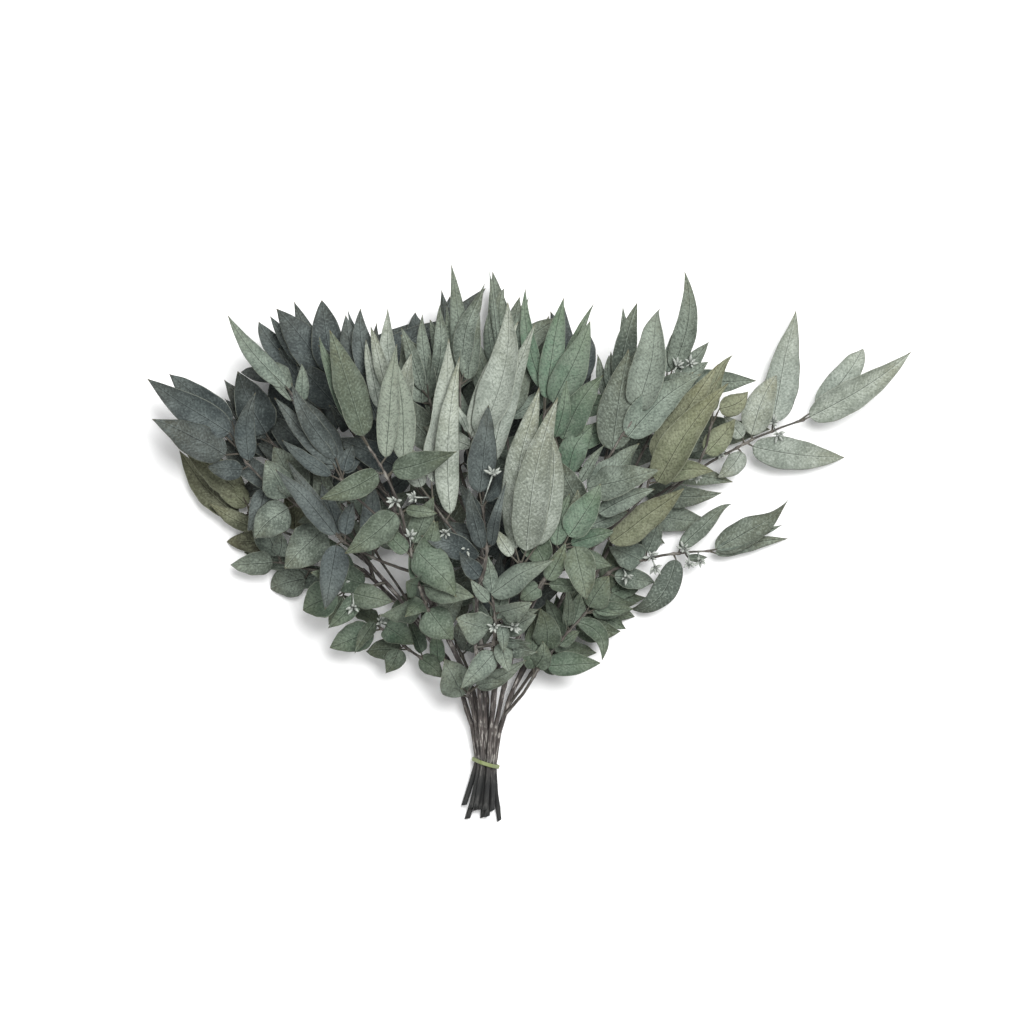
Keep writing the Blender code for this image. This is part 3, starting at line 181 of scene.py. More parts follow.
SPRAYS = (
    Spray("left_outer", 4, 0.93,
          ((-160, 19, 42), (-182, 36, 44), (-205, 50, 46), (-219, 63, 48), (-229, 82, 48)),
          Tone.SLATE, (
              leaf(-233, 88, -296, 126, 54, 25), leaf(-231, 97, -279, 136, 46, 22),
              leaf(-236, 71, -289, 99, 57, 26), leaf(-218, 67, -221, 118, 66, 16),
              leaf(-223, 60, -250, 62, 44, 16), leaf(-206, 45, -215, 10, 54, 17),
              leaf(-244, 92, -275, 106, 40, 12)), fill=2),
    Spray("left_dark", 4, 0.97, ((-152, 38, 30), (-185, 66, 33), (-203, 82, 34)), Tone.SLATE, (
        leaf(-206, 88, -231, 134, 38, 28), leaf(-210, 84, -237, 131, 30, 18),
        leaf(-166, 66, -206, 106, 26, 22), leaf(-172, 56, -215, 80, 24, 24)), fill=3),
    Spray("left_edge", 1, 0.99, ((-165, 0, 11), (-200, 14, 11), (-222, 27, 12)), Tone.OLIVE, (
        leaf(-230, 24, -276, 72, 2, 21, bow=-0.10), leaf(-226, 40, -272, 84, 24, 22),
        leaf(-222, 32, -252, 60, 18, 18), leaf(-216, 14, -251, 32, 20, 13),
        leaf(-206, 3, -238, 8, 2, 17)), fill=2),
    Spray("left_low", 1, 0.96, ((-160, -18, 13), (-182, -17, 15), (-197, -12, 16)), Tone.GREY, (
        leaf(-202, -12, -235, -13, 20, 18), leaf(-177, -25, -206, -34, 2, 25),
        leaf(-197, -7, -194, 12, 28, 12)), fill=4, fill_length=38),
    Spray("left_mid", 4, 0.90, ((-140, 6, 54), (-165, 23, 58), (-183, 34, 60)), Tone.GREY, (
        leaf(-187, 30, -215, 8, 62, 26), leaf(-188, 38, -205, 66, 66, 25),
        leaf(-160, 14, -192, -14, 56, 30), leaf(-178, 40, -200, 78, 54, 26)), fill=3, fill_length=48),
    Spray("left_front", 8, 0.86, ((-112, -12, 76), (-132, -2, 80), (-146, 6, 82)), Tone.SLATE, (
        leaf(-150, 10, -192, 63, 88, 15), leaf(-149, 2, -158, -47, 78, 21),
        leaf(-142, 10, -137, 36, 84, 12), leaf(-152, 14, -188, 66, 76, 11)), fill=2),
    Spray("left_low_inner", 4, 0.85, ((-118, -28, 50), (-135, -34, 53), (-145, -33, 54)), Tone.GREEN, (
        leaf(-139, -35, -107, -43, 62, 19), leaf(-149, -37, -178, -46, 42, 27)), fill=4, fill_length=38),
    Spray("low_left", 5, 0.27, ((-54, -108, 24), (-72, -96, 28), (-96, -79, 32), (-118, -62, 34)),
          Tone.GREEN, (
              leaf(-123, -65, -156, -80, 30, 22), leaf(-122, -58, -138, -81, 44, 10),
              leaf(-113, -61, -91, -75, 46, 20), leaf(-103, -79, -112, -99, 30, 15),
              leaf(-87, -86, -68, -99, 38, 15)), fill=5, fill_length=34),
    Spray("low_front", 8, 0.30, ((-50, -116, 36), (-49, -111, 46)), Tone.GREY, (
        leaf(-54, -115, -68, -84, 56, 26), leaf(-43, -107, -4, -87, 62, 13),
        leaf(-41, -106, -20, -104, 58, 9)), fill=3, fill_length=34),
    Spray("low_centre", 11, 0.66, ((-31, -76, 78), (-28, -60, 88), (-30, -39, 98)), Tone.GREY, (
        leaf(-31, -35, 13, -4, 118, 21), leaf(-33, -62, -58, -55, 94, 26),
        leaf(-29, -80, -54, -106, 86, 18), leaf(-24, -72, -19, -95, 80, 13),
        leaf(-24, -58, -21, -79, 90, 9), leaf(-33, -52, -46, -40, 76, 13)),
        fill=8, fill_length=34),
    Spray("centre_front", 12, 0.98, ((-10, -28, 100), (-9, -10, 110)), Tone.PALE, (
        leaf(-5, -2, 9, 114, 134, 26), leaf(-13, 0, 0, 126, 122, 24), leaf(3, 2, 18, 93, 112, 18),
        leaf(-16, -6, -29, 14, 108, 10))),
    Spray("centre_stalk", 11, 0.99, ((-37, -18, 103), (-34, -6, 107), (-38, 32, 108)), Tone.SLATE, (
        leaf(-38, 0, -50, 46, 114, 13), leaf(-31, 2, -22, 50, 118, 9, hook=0.35),
        leaf(-40, -22, -56, -4, 108, 13), leaf(-40, 42, -33, 108, 100, 23)), fill=4, fill_length=40),
    Spray("centre_upper", 9, 0.98, ((-37, 34, 88), (-40, 60, 95), (-42, 76, 98)), Tone.PALE, (
        leaf(-41, 84, -13, 183, 112, 28), leaf(-47, 84, -21, 173, 98, 18),
        leaf(-31, 64, 4, 168, 102, 17, bow=-0.04), leaf(-49, 88, -61, 112, 108, 7, hook=0.3)), fill=1),
    Spray("centre_left", 11, 0.94, ((-52, 0, 101), (-64, 18, 105), (-78, 38, 106)), Tone.PALE, (
        leaf(-62, 26, -56, 143, 104, 18), leaf(-76, 50, -62, 158, 110, 26),
        leaf(-84, 46, -92, 78, 98, 15))),
    Spray("upper_left", 8, 0.98, ((-96, 12, 102), (-99, 29, 112), (-111, 57, 118), (-123, 76, 118)),
          Tone.GREEN, (
              leaf(-103, 26, -141, -3, 120, 22), leaf(-95, 29, -71, 27, 112, 9),
              leaf(-116, 56, -158, 35, 124, 18), leaf(-105, 58, -57, 73, 126, 19),
              leaf(-110, 68, -104, 155, 110, 16, hook=0.12), leaf(-97, 66, -102, 146, 100, 19),
              leaf(-127, 84, -150, 163, 106, 26), leaf(-134, 92, -163, 155, 96, 14))),
    Spray("mid_left", 8, 0.74, ((-78, -50, 82), (-86, -27, 98), (-92, 0, 104)), Tone.GREEN, (
        leaf(-88, -1, -54, -32, 114, 27), leaf(-82, -29, -44, -37, 104, 19),
        leaf(-79, -47, -61, -71, 86, 25)), fill=8, fill_length=36),
    Spray("centre_right", 12, 0.96, ((3, -33, 99), (12, -16, 105), (24, 3, 108)), Tone.GREEN, (
        leaf(5, -29, -10, -40, 104, 14), leaf(11, -24, 25, 4, 114, 13),
        leaf(32, 1, 42, -39, 106, 22), leaf(27, 9, 51, 48, 116, 22),
        leaf(18, 2, 26, 42, 106, 14)), fill=4, fill_length=40),
    Spray("right_front", 10, 0.90, ((24, -20, 80), (37, 4, 90), (38, 40, 95)), Tone.GREY, (
        leaf(41, 45, 95, 60, 108, 26), leaf(50, 26, 92, 46, 98, 15), leaf(36, 50, 53, 78, 106, 8)), fill=5,
        fill_length=44),
    Spray("right_upper", 10, 0.98, ((38, 24, 82), (50, 54, 88), (58, 70, 91), (75, 96, 96)), Tone.GREY, (
        leaf(60, 74, 71, 150, 100, 29), leaf(79, 104, 101, 185, 106, 26),
        leaf(72, 84, 124, 134, 96, 26)), fill=1),
    Spray("right_olive", 7, 0.97, ((66, 20, 66), (86, 40, 76), (90, 58, 80)), Tone.OLIVE, (
        leaf(95, 50, 139, 128, 104, 25), leaf(92, 68, 135, 138, 92, 22),
        leaf(104, 56, 147, 125, 92, 17), leaf(60, 4, 114, 48, 70, 23)), fill=1, fill_length=44),
    Spray("right_shade", 7, 0.94, ((86, 28, 54), (116, 52, 60), (130, 68, 62), (137, 96, 66)), Tone.OLIVE, (
        leaf(133, 72, 154, 99, 62, 18), leaf(138, 104, 147, 150, 74, 11),
        leaf(143, 106, 168, 117, 64, 16))),
    Spray("right_arm_upper", 7, 0.99,
          ((90, 36, 42), (120, 55, 38), (145, 70, 34), (165, 80, 31), (183, 89, 27), (212, 99, 20)),
          Tone.PALE, (
              leaf(162, 74, 145, 53, 24, 15), leaf(163, 85, 149, 102, 42, 12),
              leaf(171, 78, 246, 70, 2, 24), leaf(170, 87, 184, 136, 22, 22),
              leaf(187, 97, 204, 185, 12, 25), leaf(216, 101, 296, 147, 24, 23),
              leaf(222, 108, 262, 160, 4, 21, hook=0.14))),
    Spray("right_arm_lower", 3, 0.98, ((62, -18, 26), (90, -9, 25), (112, -5, 22), (139, -3, 18)),
          Tone.GREY, (
              leaf(85, -11, 58, 0, 36, 22), leaf(89, -4, 98, 23, 30, 14),
              leaf(64, -23, 94, -31, 8, 16), leaf(112, -10, 79, -56, 4, 19, bow=-0.12),
              leaf(115, -1, 158, 35, 22, 13), leaf(143, -2, 203, 33, 20, 21),
              leaf(143, -5, 199, 10, 2, 11), leaf(144, -2, 195, 17, 12, 9),
              leaf(121, -8, 136, -10, 14, 6))),
    Spray("low_right", 7, 0.20, ((-8, -115, 28), (3, -97, 33), (14, -82, 36), (28, -65, 40), (42, -50, 42)),
          Tone.GREEN, (
              leaf(12, -92, 52, -87, 38, 19), leaf(35, -58, 53, -87, 42, 13, bow=-0.22),
              leaf(3, -92, 11, -73, 46, 15), leaf(21, -76, 37, -65, 36, 10),
              leaf(11, -78, 9, -46, 56, 21), leaf(27, -61, 27, -30, 54, 9),
              leaf(44, -46, 60, -23, 46, 23), leaf(48, -48, 67, -52, 42, 6), leaf(22, -68, 12, -40, 38, 13),
            leaf(31, -60, 37, -34, 36, 14)), fill=4, fill_length=34),
    Spray("crown_left", 5, 0.97, ((-138, 88, 56), (-154, 126, 61)), Tone.SLATE, (
        leaf(-159, 136, -192, 185, 70, 26), leaf(-163, 134, -203, 177, 60, 14),
        leaf(-158, 140, -184, 185, 58, 15), leaf(-153, 134, -163, 192, 65, 24),
        leaf(-143, 104, -157, 184, 60, 17), leaf(-150, 108, -180, 142, 64, 24)), fill=2),
    Spray("crown_far_left", 5, 0.93, ((-138, 66, 42), (-165, 108, 45), (-180, 136, 47)), Tone.SLATE, (
        leaf(-184, 142, -211, 174, 50, 17), leaf(-186, 136, -211, 164, 44, 17),
        leaf(-172, 118, -198, 150, 50, 22), leaf(-152, 88, -180, 124, 38, 23)), fill=2),
    Spray("left_upper", 8, 0.95, ((-118, 24, 84), (-136, 40, 86), (-146, 53, 88)), Tone.SLATE, (
        leaf(-149, 60, -177, 116, 80, 27), leaf(-153, 55, -190, 80, 90, 12),
        leaf(-151, 64, -198, 113, 96, 14), leaf(-149, 68, -188, 121, 102, 15),
        leaf(-143, 58, -137, 78, 86, 12)), fill=1),
    Spray("left_wisp", 5, 0.99, ((-138, 66, 64), (-168, 98, 70), (-184, 118, 73)), Tone.GREY, (
        leaf(-188, 123, -232, 174, 82, 15), leaf(-184, 112, -223, 163, 74, 6),
        leaf(-176, 112, -176, 140, 78, 10)), fill=1),
    Spray("crown_blue", 9, 0.86, ((-92, 50, 68), (-116, 92, 72), (-124, 114, 74)), Tone.SLATE, (
        leaf(-129, 122, -142, 177, 76, 20), leaf(-125, 124, -137, 180, 68, 10),
        leaf(-120, 122, -133, 182, 84, 18), leaf(-118, 98, -141, 138, 70, 22)), fill=2),
    Spray("crown_grey", 9, 0.93, ((-84, 44, 80), (-104, 90, 82), (-108, 116, 84)), Tone.PALE, (
        leaf(-116, 106, -125, 158, 94, 10), leaf(-111, 122, -119, 168, 90, 10),
        leaf(-106, 124, -112, 180, 82, 13), leaf(-103, 112, -108, 172, 74, 8),
        leaf(-99, 92, -92, 146, 86, 19)), fill=1),
    Spray("crown_mid_left", 9, 0.96, ((-60, 46, 76), (-74, 92, 78), (-79, 116, 78)), Tone.GREY, (
        leaf(-84, 120, -99, 168, 84, 11), leaf(-80, 124, -87, 177, 76, 11),
        leaf(-75, 124, -72, 188, 82, 11, hook=0.1), leaf(-84, 110, -93, 164, 66, 27),
        leaf(-72, 98, -64, 152, 70, 21)), fill=2),
    Spray("crown_high", 6, 0.88, ((-44, 56, 74), (-54, 98, 78), (-55, 126, 80)), Tone.GREY, (
        leaf(-60, 132, -67, 181, 74, 9), leaf(-55, 136, -56, 215, 82, 13),
        leaf(-52, 134, -33, 199, 92, 15, bow=-0.10), leaf(-49, 128, -46, 180, 78, 15)), fill=2),
    Spray("crown_centre", 6, 0.93, ((-18, 72, 66), (-22, 110, 69), (-22, 138, 72)), Tone.GREY, (
        leaf(-26, 148, -33, 211, 76, 5), leaf(-20, 150, -27, 201, 84, 12, hook=0.2),
        leaf(-29, 138, -38, 179, 70, 10), leaf(-15, 138, -2, 190, 74, 11),
        leaf(-28, 108, -42, 160, 66, 21), leaf(-16, 104, -4, 160, 62, 19)), fill=2),
    Spray("crown_green", 6, 0.98, ((2, 70, 74), (8, 94, 77), (10, 105, 78)), Tone.GREEN, (
        leaf(10, 114, 21, 190, 86, 18), leaf(16, 110, 49, 168, 92, 24),
        leaf(9, 120, -6, 197, 74, 12, bow=-0.08), leaf(20, 116, 43, 187, 70, 10),
        leaf(20, 108, 40, 168, 62, 14)), fill=2),
    Spray("right_green", 10, 0.94, ((16, 28, 84), (21, 56, 89), (21, 74, 92)), Tone.GREEN, (
        leaf(23, 82, 48, 134, 102, 22), leaf(17, 84, 27, 126, 108, 11),
        leaf(27, 56, 46, 98, 88, 20)), fill=1),
    Spray("crown_right", 7, 0.91, ((54, 56, 50), (62, 98, 55), (64, 116, 57)), Tone.GREY, (
        leaf(67, 126, 81, 187, 64, 17), leaf(67, 120, 76, 184, 54, 11),
        leaf(58, 112, 47, 149, 48, 8), leaf(61, 118, 56, 148, 54, 7),
        leaf(64, 120, 63, 150, 50, 7), leaf(70, 106, 92, 160, 58, 18)), fill=2),
    Spray("crown_far_right", 7, 0.96, ((76, 56, 56), (96, 100, 61), (104, 126, 64)), Tone.GREY, (
        leaf(107, 136, 124, 209, 72, 17, hook=0.06), leaf(103, 134, 111, 166, 60, 10),
        leaf(110, 131, 136, 157, 66, 12), leaf(109, 126, 135, 141, 72, 13),
        leaf(98, 112, 122, 134, 78, 20)), fill=2),
    Spray("back_crown_left", 5, 0.90, ((-118, 90, 30), (-138, 138, 20)), Tone.SLATE, fill=8, fill_length=64),
    Spray("back_crown_mid", 2, 0.98, ((-66, 92, 26), (-82, 146, 16)), Tone.SLATE, (
        leaf(-86, 152, -90, 184, 1.2, 16),), fill=7, fill_length=66),
    Spray("back_crown_right", 2, 0.95, ((-30, 90, 24), (-18, 146, 16)), Tone.GREY, (
        leaf(-15, 152, -8, 188, 1.2, 16),), fill=7, fill_length=68),
    Spray("back_top_right", 6, 0.84, ((14, 72, 36), (34, 122, 22)), Tone.SLATE, (
        leaf(36, 128, 47, 168, 1.2, 18),), fill=7, fill_length=66),
    Spray("back_right", 3, 0.99, ((66, 12, 22), (92, 62, 14), (108, 96, 10)), Tone.GREY, (
        leaf(112, 102, 132, 138, 1.2, 17), leaf(111, 96, 146, 114, 1.2, 16)), fill=6, fill_length=62),
    Spray("back_far_left", 1, 0.93, ((-140, 22, 14), (-170, 58, 10), (-190, 88, 9)), Tone.SLATE, (
        leaf(-196, 93, -232, 122, 1.2, 20), leaf(-192, 96, -206, 140, 1.2, 18)), fill=5, fill_length=58),
    Spray("back_left", 1, 0.34, ((-78, -74, 18), (-98, -40, 24), (-124, 0, 24), (-140, 34, 20)), Tone.GREY,
          fill=15, fill_length=40),
    Spray("back_middle", 2, 0.26, ((-54, -88, 16), (-66, -50, 22), (-74, -8, 20), (-84, 38, 12)), Tone.GREY,
          fill=17, fill_length=40),
    Spray("back_low_right", 3, 0.28, ((4, -92, 16), (22, -70, 20), (34, -52, 20), (58, -38, 14)),
          Tone.GREEN, (leaf(62, -36, 86, -28, 1.2, 14),), fill=20, fill_length=34),
    Spray("inner_centre", 2, 0.36, ((-28, -72, 22), (-24, -30, 34), (-18, 6, 38), (-4, 50, 40)), Tone.SLATE,
          fill=26, fill_length=42),
)


def unit(vectors: np.ndarray) -> np.ndarray:
    """Vectors scaled to a length of one."""
    return vectors / np.linalg.norm(vectors, axis=-1, keepdims=True)


def smooth(points: tuple[Point, ...], step: float) -> np.ndarray:
    """A Catmull-Rom curve through the points, with a point about every step."""
    knots = np.array(points, float)
    knots = np.vstack([2 * knots[0] - knots[1], knots, 2 * knots[-1] - knots[-2]])
    runs = []
    for a, b, c, d in zip(knots, knots[1:], knots[2:], knots[3:]):
        count = max(1, round(np.linalg.norm(c - b) / step))
        t = np.arange(count)[:, None] / count
        runs.append(0.5 * (2 * b + (c - a) * t + (2 * a - 5 * b + 4 * c - d) * t**2
                           + (3 * b - a - 3 * c + d) * t**3))
    return np.vstack([*runs, knots[-2:-1]])


def along(path: np.ndarray, share: float | np.ndarray) -> np.ndarray:
    """The points at these shares of a path's length."""
    run = np.concatenate([[0], np.cumsum(np.linalg.norm(np.diff(path, axis=0), axis=1))])
    return np.stack([np.interp(np.asarray(share) * run[-1], run, axis) for axis in path.T], axis=-1)


def frames(tangents: np.ndarray) -> tuple[np.ndarray, np.ndarray]:
    """For each direction, the level one across it and the one that faces up from it."""
    sides = unit(np.cross(tangents, UP))
    return sides, np.cross(sides, unit(tangents))


@dataclass(frozen=True)
class Surface:
    """A closed strip of rings, as the box round it and a tree of its faces."""

    low: np.ndarray
    high: np.ndarray
    tree: BVHTree

    @classmethod
    def of(cls, rings: np.ndarray) -> "Surface":
        """The surface through rings of an even number of points, (ring, point in ring, xyz).

        Each diagonal runs from an even point to an odd one of the next ring, so that the two
        faces of a thin blade bend alike and never cross.
        """
        count, sides = rings.shape[:2]
        points = rings.reshape(-1, 3)
        faces = []
        for first in range(0, (count - 1) * sides, sides):
            for here in range(0, sides, 2):
                for there in ((here + 1) % sides, (here - 1) % sides):
                    even, odd, after = first + here, first + there, first + sides
                    corners = (even, odd, after + there), (even, after + there, after + here)
                    faces += corners if there == here + 1 else [corner[::-1] for corner in corners]
        faces.append(tuple(range(sides))[::-1])
        faces.append(tuple(range((count - 1) * sides, count * sides)))
        tree = BVHTree.FromPolygons(points.tolist(), faces)
        return cls(points.min(0), points.max(0), tree)

    def meets(self, other: "Surface") -> bool:
        """Whether two surfaces touch."""
        if (self.low > other.high).any() or (other.low > self.high).any():
            return False
        return bool(self.tree.overlap(other.tree))


def tube(path: np.ndarray, radii: np.ndarray, sides: int = 6) -> Surface:
    """A tube along a path."""
    across, up = frames(np.gradient(path, axis=0))
    turn = 2 * np.pi * np.arange(sides) / sides
    offset = (np.cos(turn)[None, :, None] * across[:, None]
              + np.sin(turn)[None, :, None] * up[:, None])
    return Surface.of(path[:, None] + offset * radii[:, None, None])


@dataclass(frozen=True)
class Blade:
    """A leaf in place, in millimetres and radians.

    Its stalk runs from foot to base, and its blade from base to tip. bow bends it sideways,
    arch up and hook its tip over, as shares of its length. roll and twist turn its face.
    """

    foot: np.ndarray
    base: np.ndarray
    tip: np.ndarray
    width: float
    bow: float
    arch: float
    hook: float
    roll: float
    twist: float

    def course(self, u: np.ndarray) -> tuple[np.ndarray, np.ndarray, np.ndarray]:
        """The midrib's points at shares u of the blade, with the directions across it and out of its face."""
        chord = self.tip - self.base
        length = np.linalg.norm(chord)
        across, up = frames(chord)
        u = np.asarray(u, float)[:, None]
        hump, hook = 4 * u * (1 - u), 6.75 * u**2 * (1 - u)  # each rises to one
        spine = (self.base + chord * u + across * self.bow * length * hump
                 + up * length * (self.arch * hump + self.hook * hook))
        hump, hook = 4 - 8 * u, 6.75 * (2 * u - 3 * u**2)  # and their slopes
        heading = (chord + across * self.bow * length * hump
                   + up * length * (self.arch * hump + self.hook * hook))
        sides, faces = frames(heading)
        turn = self.roll + self.twist * (u - 0.5)
        return (spine, sides * np.cos(turn) + faces * np.sin(turn),
                faces * np.cos(turn) - sides * np.sin(turn))

    def half_width(self, u: np.ndarray) -> np.ndarray:
        """Half the blade's width: fast out from the stalk, widest near a third, long to the tip."""
        widest = BLADE_IN / (BLADE_IN + BLADE_OUT)
        full = widest**BLADE_IN * (1 - widest)**BLADE_OUT
        return np.maximum(self.width / 2 * u**BLADE_IN * (1 - u)**BLADE_OUT / full, 0.4)

    def rings(self, grow: float = 0.0, whole: bool = True) -> np.ndarray:
        """The leaf's four-cornered sections: edge, top, edge and keel.

        grow thickens it all round. whole starts it at the foot of its stalk, or else at its base.
        """
        length = np.linalg.norm(self.tip - self.base)
        u = np.linspace(0, 1, 3 + np.searchsorted(LONGER_BLADES, length)) ** STATION_POWER
        spine, sides, faces = self.course(u)
        half = self.half_width(u)
        half[0] = STALK
        thick = MIDRIB / 2 * (1 - 0.6 * u)
        if whole:
            across, up = frames(self.base - self.foot)
            spine = np.vstack([self.foot, spine])
            sides, faces = np.vstack([across, sides]), np.vstack([up, faces])
            half, thick = np.append(STALK, half), np.append(STALK, thick)
        edge = FOLD * half[:, None] * faces
        half, thick = (half + 2 * grow)[:, None] * sides, (thick + grow)[:, None] * faces
        return np.stack([spine + edge + half, spine + thick, spine + edge - half, spine - thick], axis=1)


def spread(cells: np.ndarray) -> np.ndarray:
    """These cells and their neighbours."""
    wide = cells.copy()
    wide[1:] |= cells[:-1]
    wide[:-1] |= cells[1:]
    wide[:, 1:] |= cells[:, :-1]
    wide[:, :-1] |= cells[:, 1:]
    return wide


class Growth:
    """What stands already, and the test of whether one more piece finds room."""

    def __init__(self) -> None:
        """Start with nothing standing."""
        self.standing: list[tuple[str, Surface, Surface]] = []
        self.roof = np.full(GRID, -1.0)
        self.cover = np.zeros(GRID, bool)
        self.shaded = np.zeros(GRID, bool)

    def clear(self, owner: str, whole: Surface, part: Surface) -> bool:
        """Whether a piece touches nothing: its own spray only counts beyond the stalks."""
        if whole.low[2] < -GAP:
            return False
        return not any(part.meets(theirs) if name == owner else whole.meets(surface)
                       for name, surface, theirs in self.standing)

    def add(self, owner: str, whole: Surface, part: Surface | None = None) -> None:
        """Let a piece stand."""
        self.standing.append((owner, whole, part or whole))

    @staticmethod
    def cells(blade: Blade) -> tuple[np.ndarray, np.ndarray]:
        """The plan cells that a blade covers, and its height over each."""
        u = np.linspace(0.03, 0.97, 30)
        spine, sides, _ = blade.course(u)
        reach = np.linspace(-0.9, 0.9, 9)[None, :, None] * blade.half_width(u)[:, None, None]
        spots = (spine[:, None] + sides[:, None] * reach).reshape(-1, 3)
        index = ((spots[:, :2] - PLAN_LOW) / CELL).astype(int)
        return np.clip(index, 0, np.array(GRID) - 1), spots[:, 2]

    def roofed(self, blade: Blade) -> None:
        """Note a blade that is meant to be seen from above."""
        index, heights = self.cells(blade)
        np.maximum.at(self.roof, tuple(index.T), heights)

    def shade(self, blade: Blade) -> None:
        """Note a blade that hides the surface below it."""
        index, _ = self.cells(blade)
        self.shaded[tuple(index.T)] = True

    def fresh(self, blade: Blade) -> int:
        """How many cells a blade would hide that are not hidden yet, in steps of FRESH_STEP."""
        index, _ = self.cells(blade)
        spots = np.unique(index @ (GRID[1], 1))
        return int((~self.shaded.ravel()[spots]).sum()) // FRESH_STEP

    def close_cover(self) -> None:
        """The plan of the bunch: the blades seen from above, with the gaps between them closed.

        The plan is widened by WIDEN cells and then narrowed by NARROW, which fills a gap but
        hardly moves the outline.
        """
        cover = self.roof > 0
        for _ in range(WIDEN):
            cover = spread(cover)
        for _ in range(NARROW):
            cover = ~spread(~cover)
        self.cover = cover

    def shift_to_origin(self) -> np.ndarray:
        """The move that puts the middle of the bunch's box over the origin, and its underside at zero."""
        low = np.min([surface.low for _, surface, _ in self.standing], axis=0)
        high = np.max([surface.high for _, surface, _ in self.standing], axis=0)
        return -np.array((*(low + high)[:2] / 2, low[2]))

    def hidden(self, blade: Blade) -> bool:
        """Whether a blade stays under the seen ones and inside the bunch's plan."""
        index, heights = self.cells(blade)
        over = heights > self.roof[tuple(index.T)]
        covers = over & (self.roof[tuple(index.T)] > 0)
        outside = ~self.cover[tuple(index.T)]
        return covers.mean() < MOST_COVERED and outside.mean() < MOST_OUTSIDE


@dataclass
class Twig:
    """A spray in place: the twig's path and radii, and its leaves."""

    spray: Spray
    path: np.ndarray
    radii: np.ndarray
    blades: list[Blade]


def stem_path(stem: Stem) -> tuple[np.ndarray, float]:
    """A stem's path from its cut end to its top, and the tie's place along it as a share."""
    x, z = stem.tie
    tie = (x, TIE_Y + TIE_TILT * (x - TIE_X), z)
    path = smooth((stem.cut, tie, *stem.rise), STEM_STEP)
    run = np.concatenate([[0], np.cumsum(np.linalg.norm(np.diff(path, axis=0), axis=1))])
    at_tie = np.argmin(np.linalg.norm(path - tie, axis=1))
    return path, run[at_tie] / run[-1]


def stem_radii(stem: Stem, path: np.ndarray) -> np.ndarray:
    """A stem's radius at each point, thinning to its top."""
    return stem.radius * np.linspace(1, STEM_TOP_SHARE, len(path))


def grow_twig(growth: Growth, spray: Spray) -> Twig:
    """The twig on its route, moved up or down until it finds room, starting just clear of its stem."""
    stem = STEMS[spray.stem - 1]
    stem_line, tie_share = stem_path(stem)
    root = along(stem_line, tie_share + spray.start * (1 - tie_share))
    for rise in TWIG_RISES:
        shift = np.array((0, 0, rise))
        whole_path = smooth((tuple(root), *(tuple(shift + point) for point in spray.route)), TWIG_STEP / 4)
        for skipped in np.arange(0.0, 0.6, 0.02):
            count = max(3, round(len(whole_path) / 4 * (1 - skipped)) + 1)
            path = along(whole_path, np.linspace(skipped, 1, count))
            radii = np.linspace(TWIG_FOOT, TWIG_END, count)
            if growth.clear(spray.name, tube(path, radii + GAP), tube(path, radii + GAP)):
                return Twig(spray, path, radii, [])
    raise ValueError(f"{spray.name} finds no room")


class Draw(IntEnum):
    """What a source of chance is for: the first number of its kind's own run."""

    LISTED_LEAF = 0
    FILLING_LEAF = 100
    LEAF_SURFACE = 200
    STEM = 600
    BUDS = 700
    TWIG = 800
    TINT = 900


def seeded(*key: int) -> np.random.Generator:
    """A source of chance for one piece, the same on each run."""
    return np.random.default_rng((SEED, *key))


def listed_blades(twig: Twig, listed: Leaf, chance: np.random.Generator) -> Iterator[Blade]:
    """A listed leaf as planned, and then raised, lowered, rolled, arched or shortened by steps."""
    arch, roll, twist = (chance.normal(*pose) for pose in LISTED_POSE)
    bow, hook = listed.bow + chance.normal(0, SWAY), listed.hook + abs(chance.normal(0, CURL))
    shares = np.linspace(0, 1, 80)
    line = along(twig.path, shares)
    away = np.linalg.norm(line[:, :2] - listed.base, axis=1)
    nearest = np.argmin(away)
    length = path_length(twig.path)
    spare = END_SPARE / length
    foot_share = shares[nearest] - FOOT_BACK * away[nearest] / length
    foot = along(twig.path, np.clip(foot_share, spare, 1 - spare))
    tip = np.array(listed.tip, float)
    flat = np.linalg.norm(tip[:2] - listed.base)
    level = foot[2] + (tip[2] - foot[2]) * away[nearest] / (away[nearest] + flat)
    base = np.array((*listed.base, level))
    for short, rise, turn, lift in product(SHORTER, RISES, TURNS, LIFTS):
        lifted = base + (0, 0, BASE_RISE * rise)
        end = lifted + (tip + (0, 0, rise) - lifted) * short
        yield Blade(foot, lifted, end, listed.width * (0.5 + short / 2), bow, arch + lift,
                    hook, roll + turn, twist)


def filling_blades(twig: Twig, order: int, chance: np.random.Generator) -> Iterator[Blade]:
    """A leaf of the filling, tried all round its twig, then more slanted and shorter."""
    spray = twig.spray
    length = spray.fill_length * chance.uniform(*FILL_LENGTHS)
    width = length * chance.uniform(*FILL_WIDTHS) * (LONG_FILL / spray.fill_length) ** SHORT_ROUNDER
    for_arch, for_roll, for_twist = FILLING_POSE
    arch, twist, roll = chance.normal(*for_arch), chance.normal(*for_twist), chance.normal(*for_roll)
    spare = END_SPARE / path_length(twig.path)
    share = np.clip(1 - FILLED_SHARE * order / spray.fill, FIRST_FILL, 1 - spare)
    foot = along(twig.path, share)
    tangent = unit(foot - along(twig.path, share - 0.05))
    across, up = frames(tangent)
    for short, slant, step in product(SHORTER[::2], SLANTS, range(ROUND_TRIES)):
        turn = GOLDEN_ANGLE * order + step * 2 * np.pi / ROUND_TRIES
        outward = across * np.cos(turn) + up * np.sin(turn) * FLATTENED
        heading = unit(tangent * np.cos(slant) + outward * np.sin(slant))
        base = foot + heading * FILL_STALK
        tip = base + heading * length * short
        tip[2] = max(tip[2], LOWEST_TIP)
        yield Blade(foot, base, tip, width * short, 0.0, arch, 0.0, roll, twist)


def path_length(path: np.ndarray) -> float:
    """The length of a path."""
    return float(np.linalg.norm(np.diff(path, axis=0), axis=1).sum())


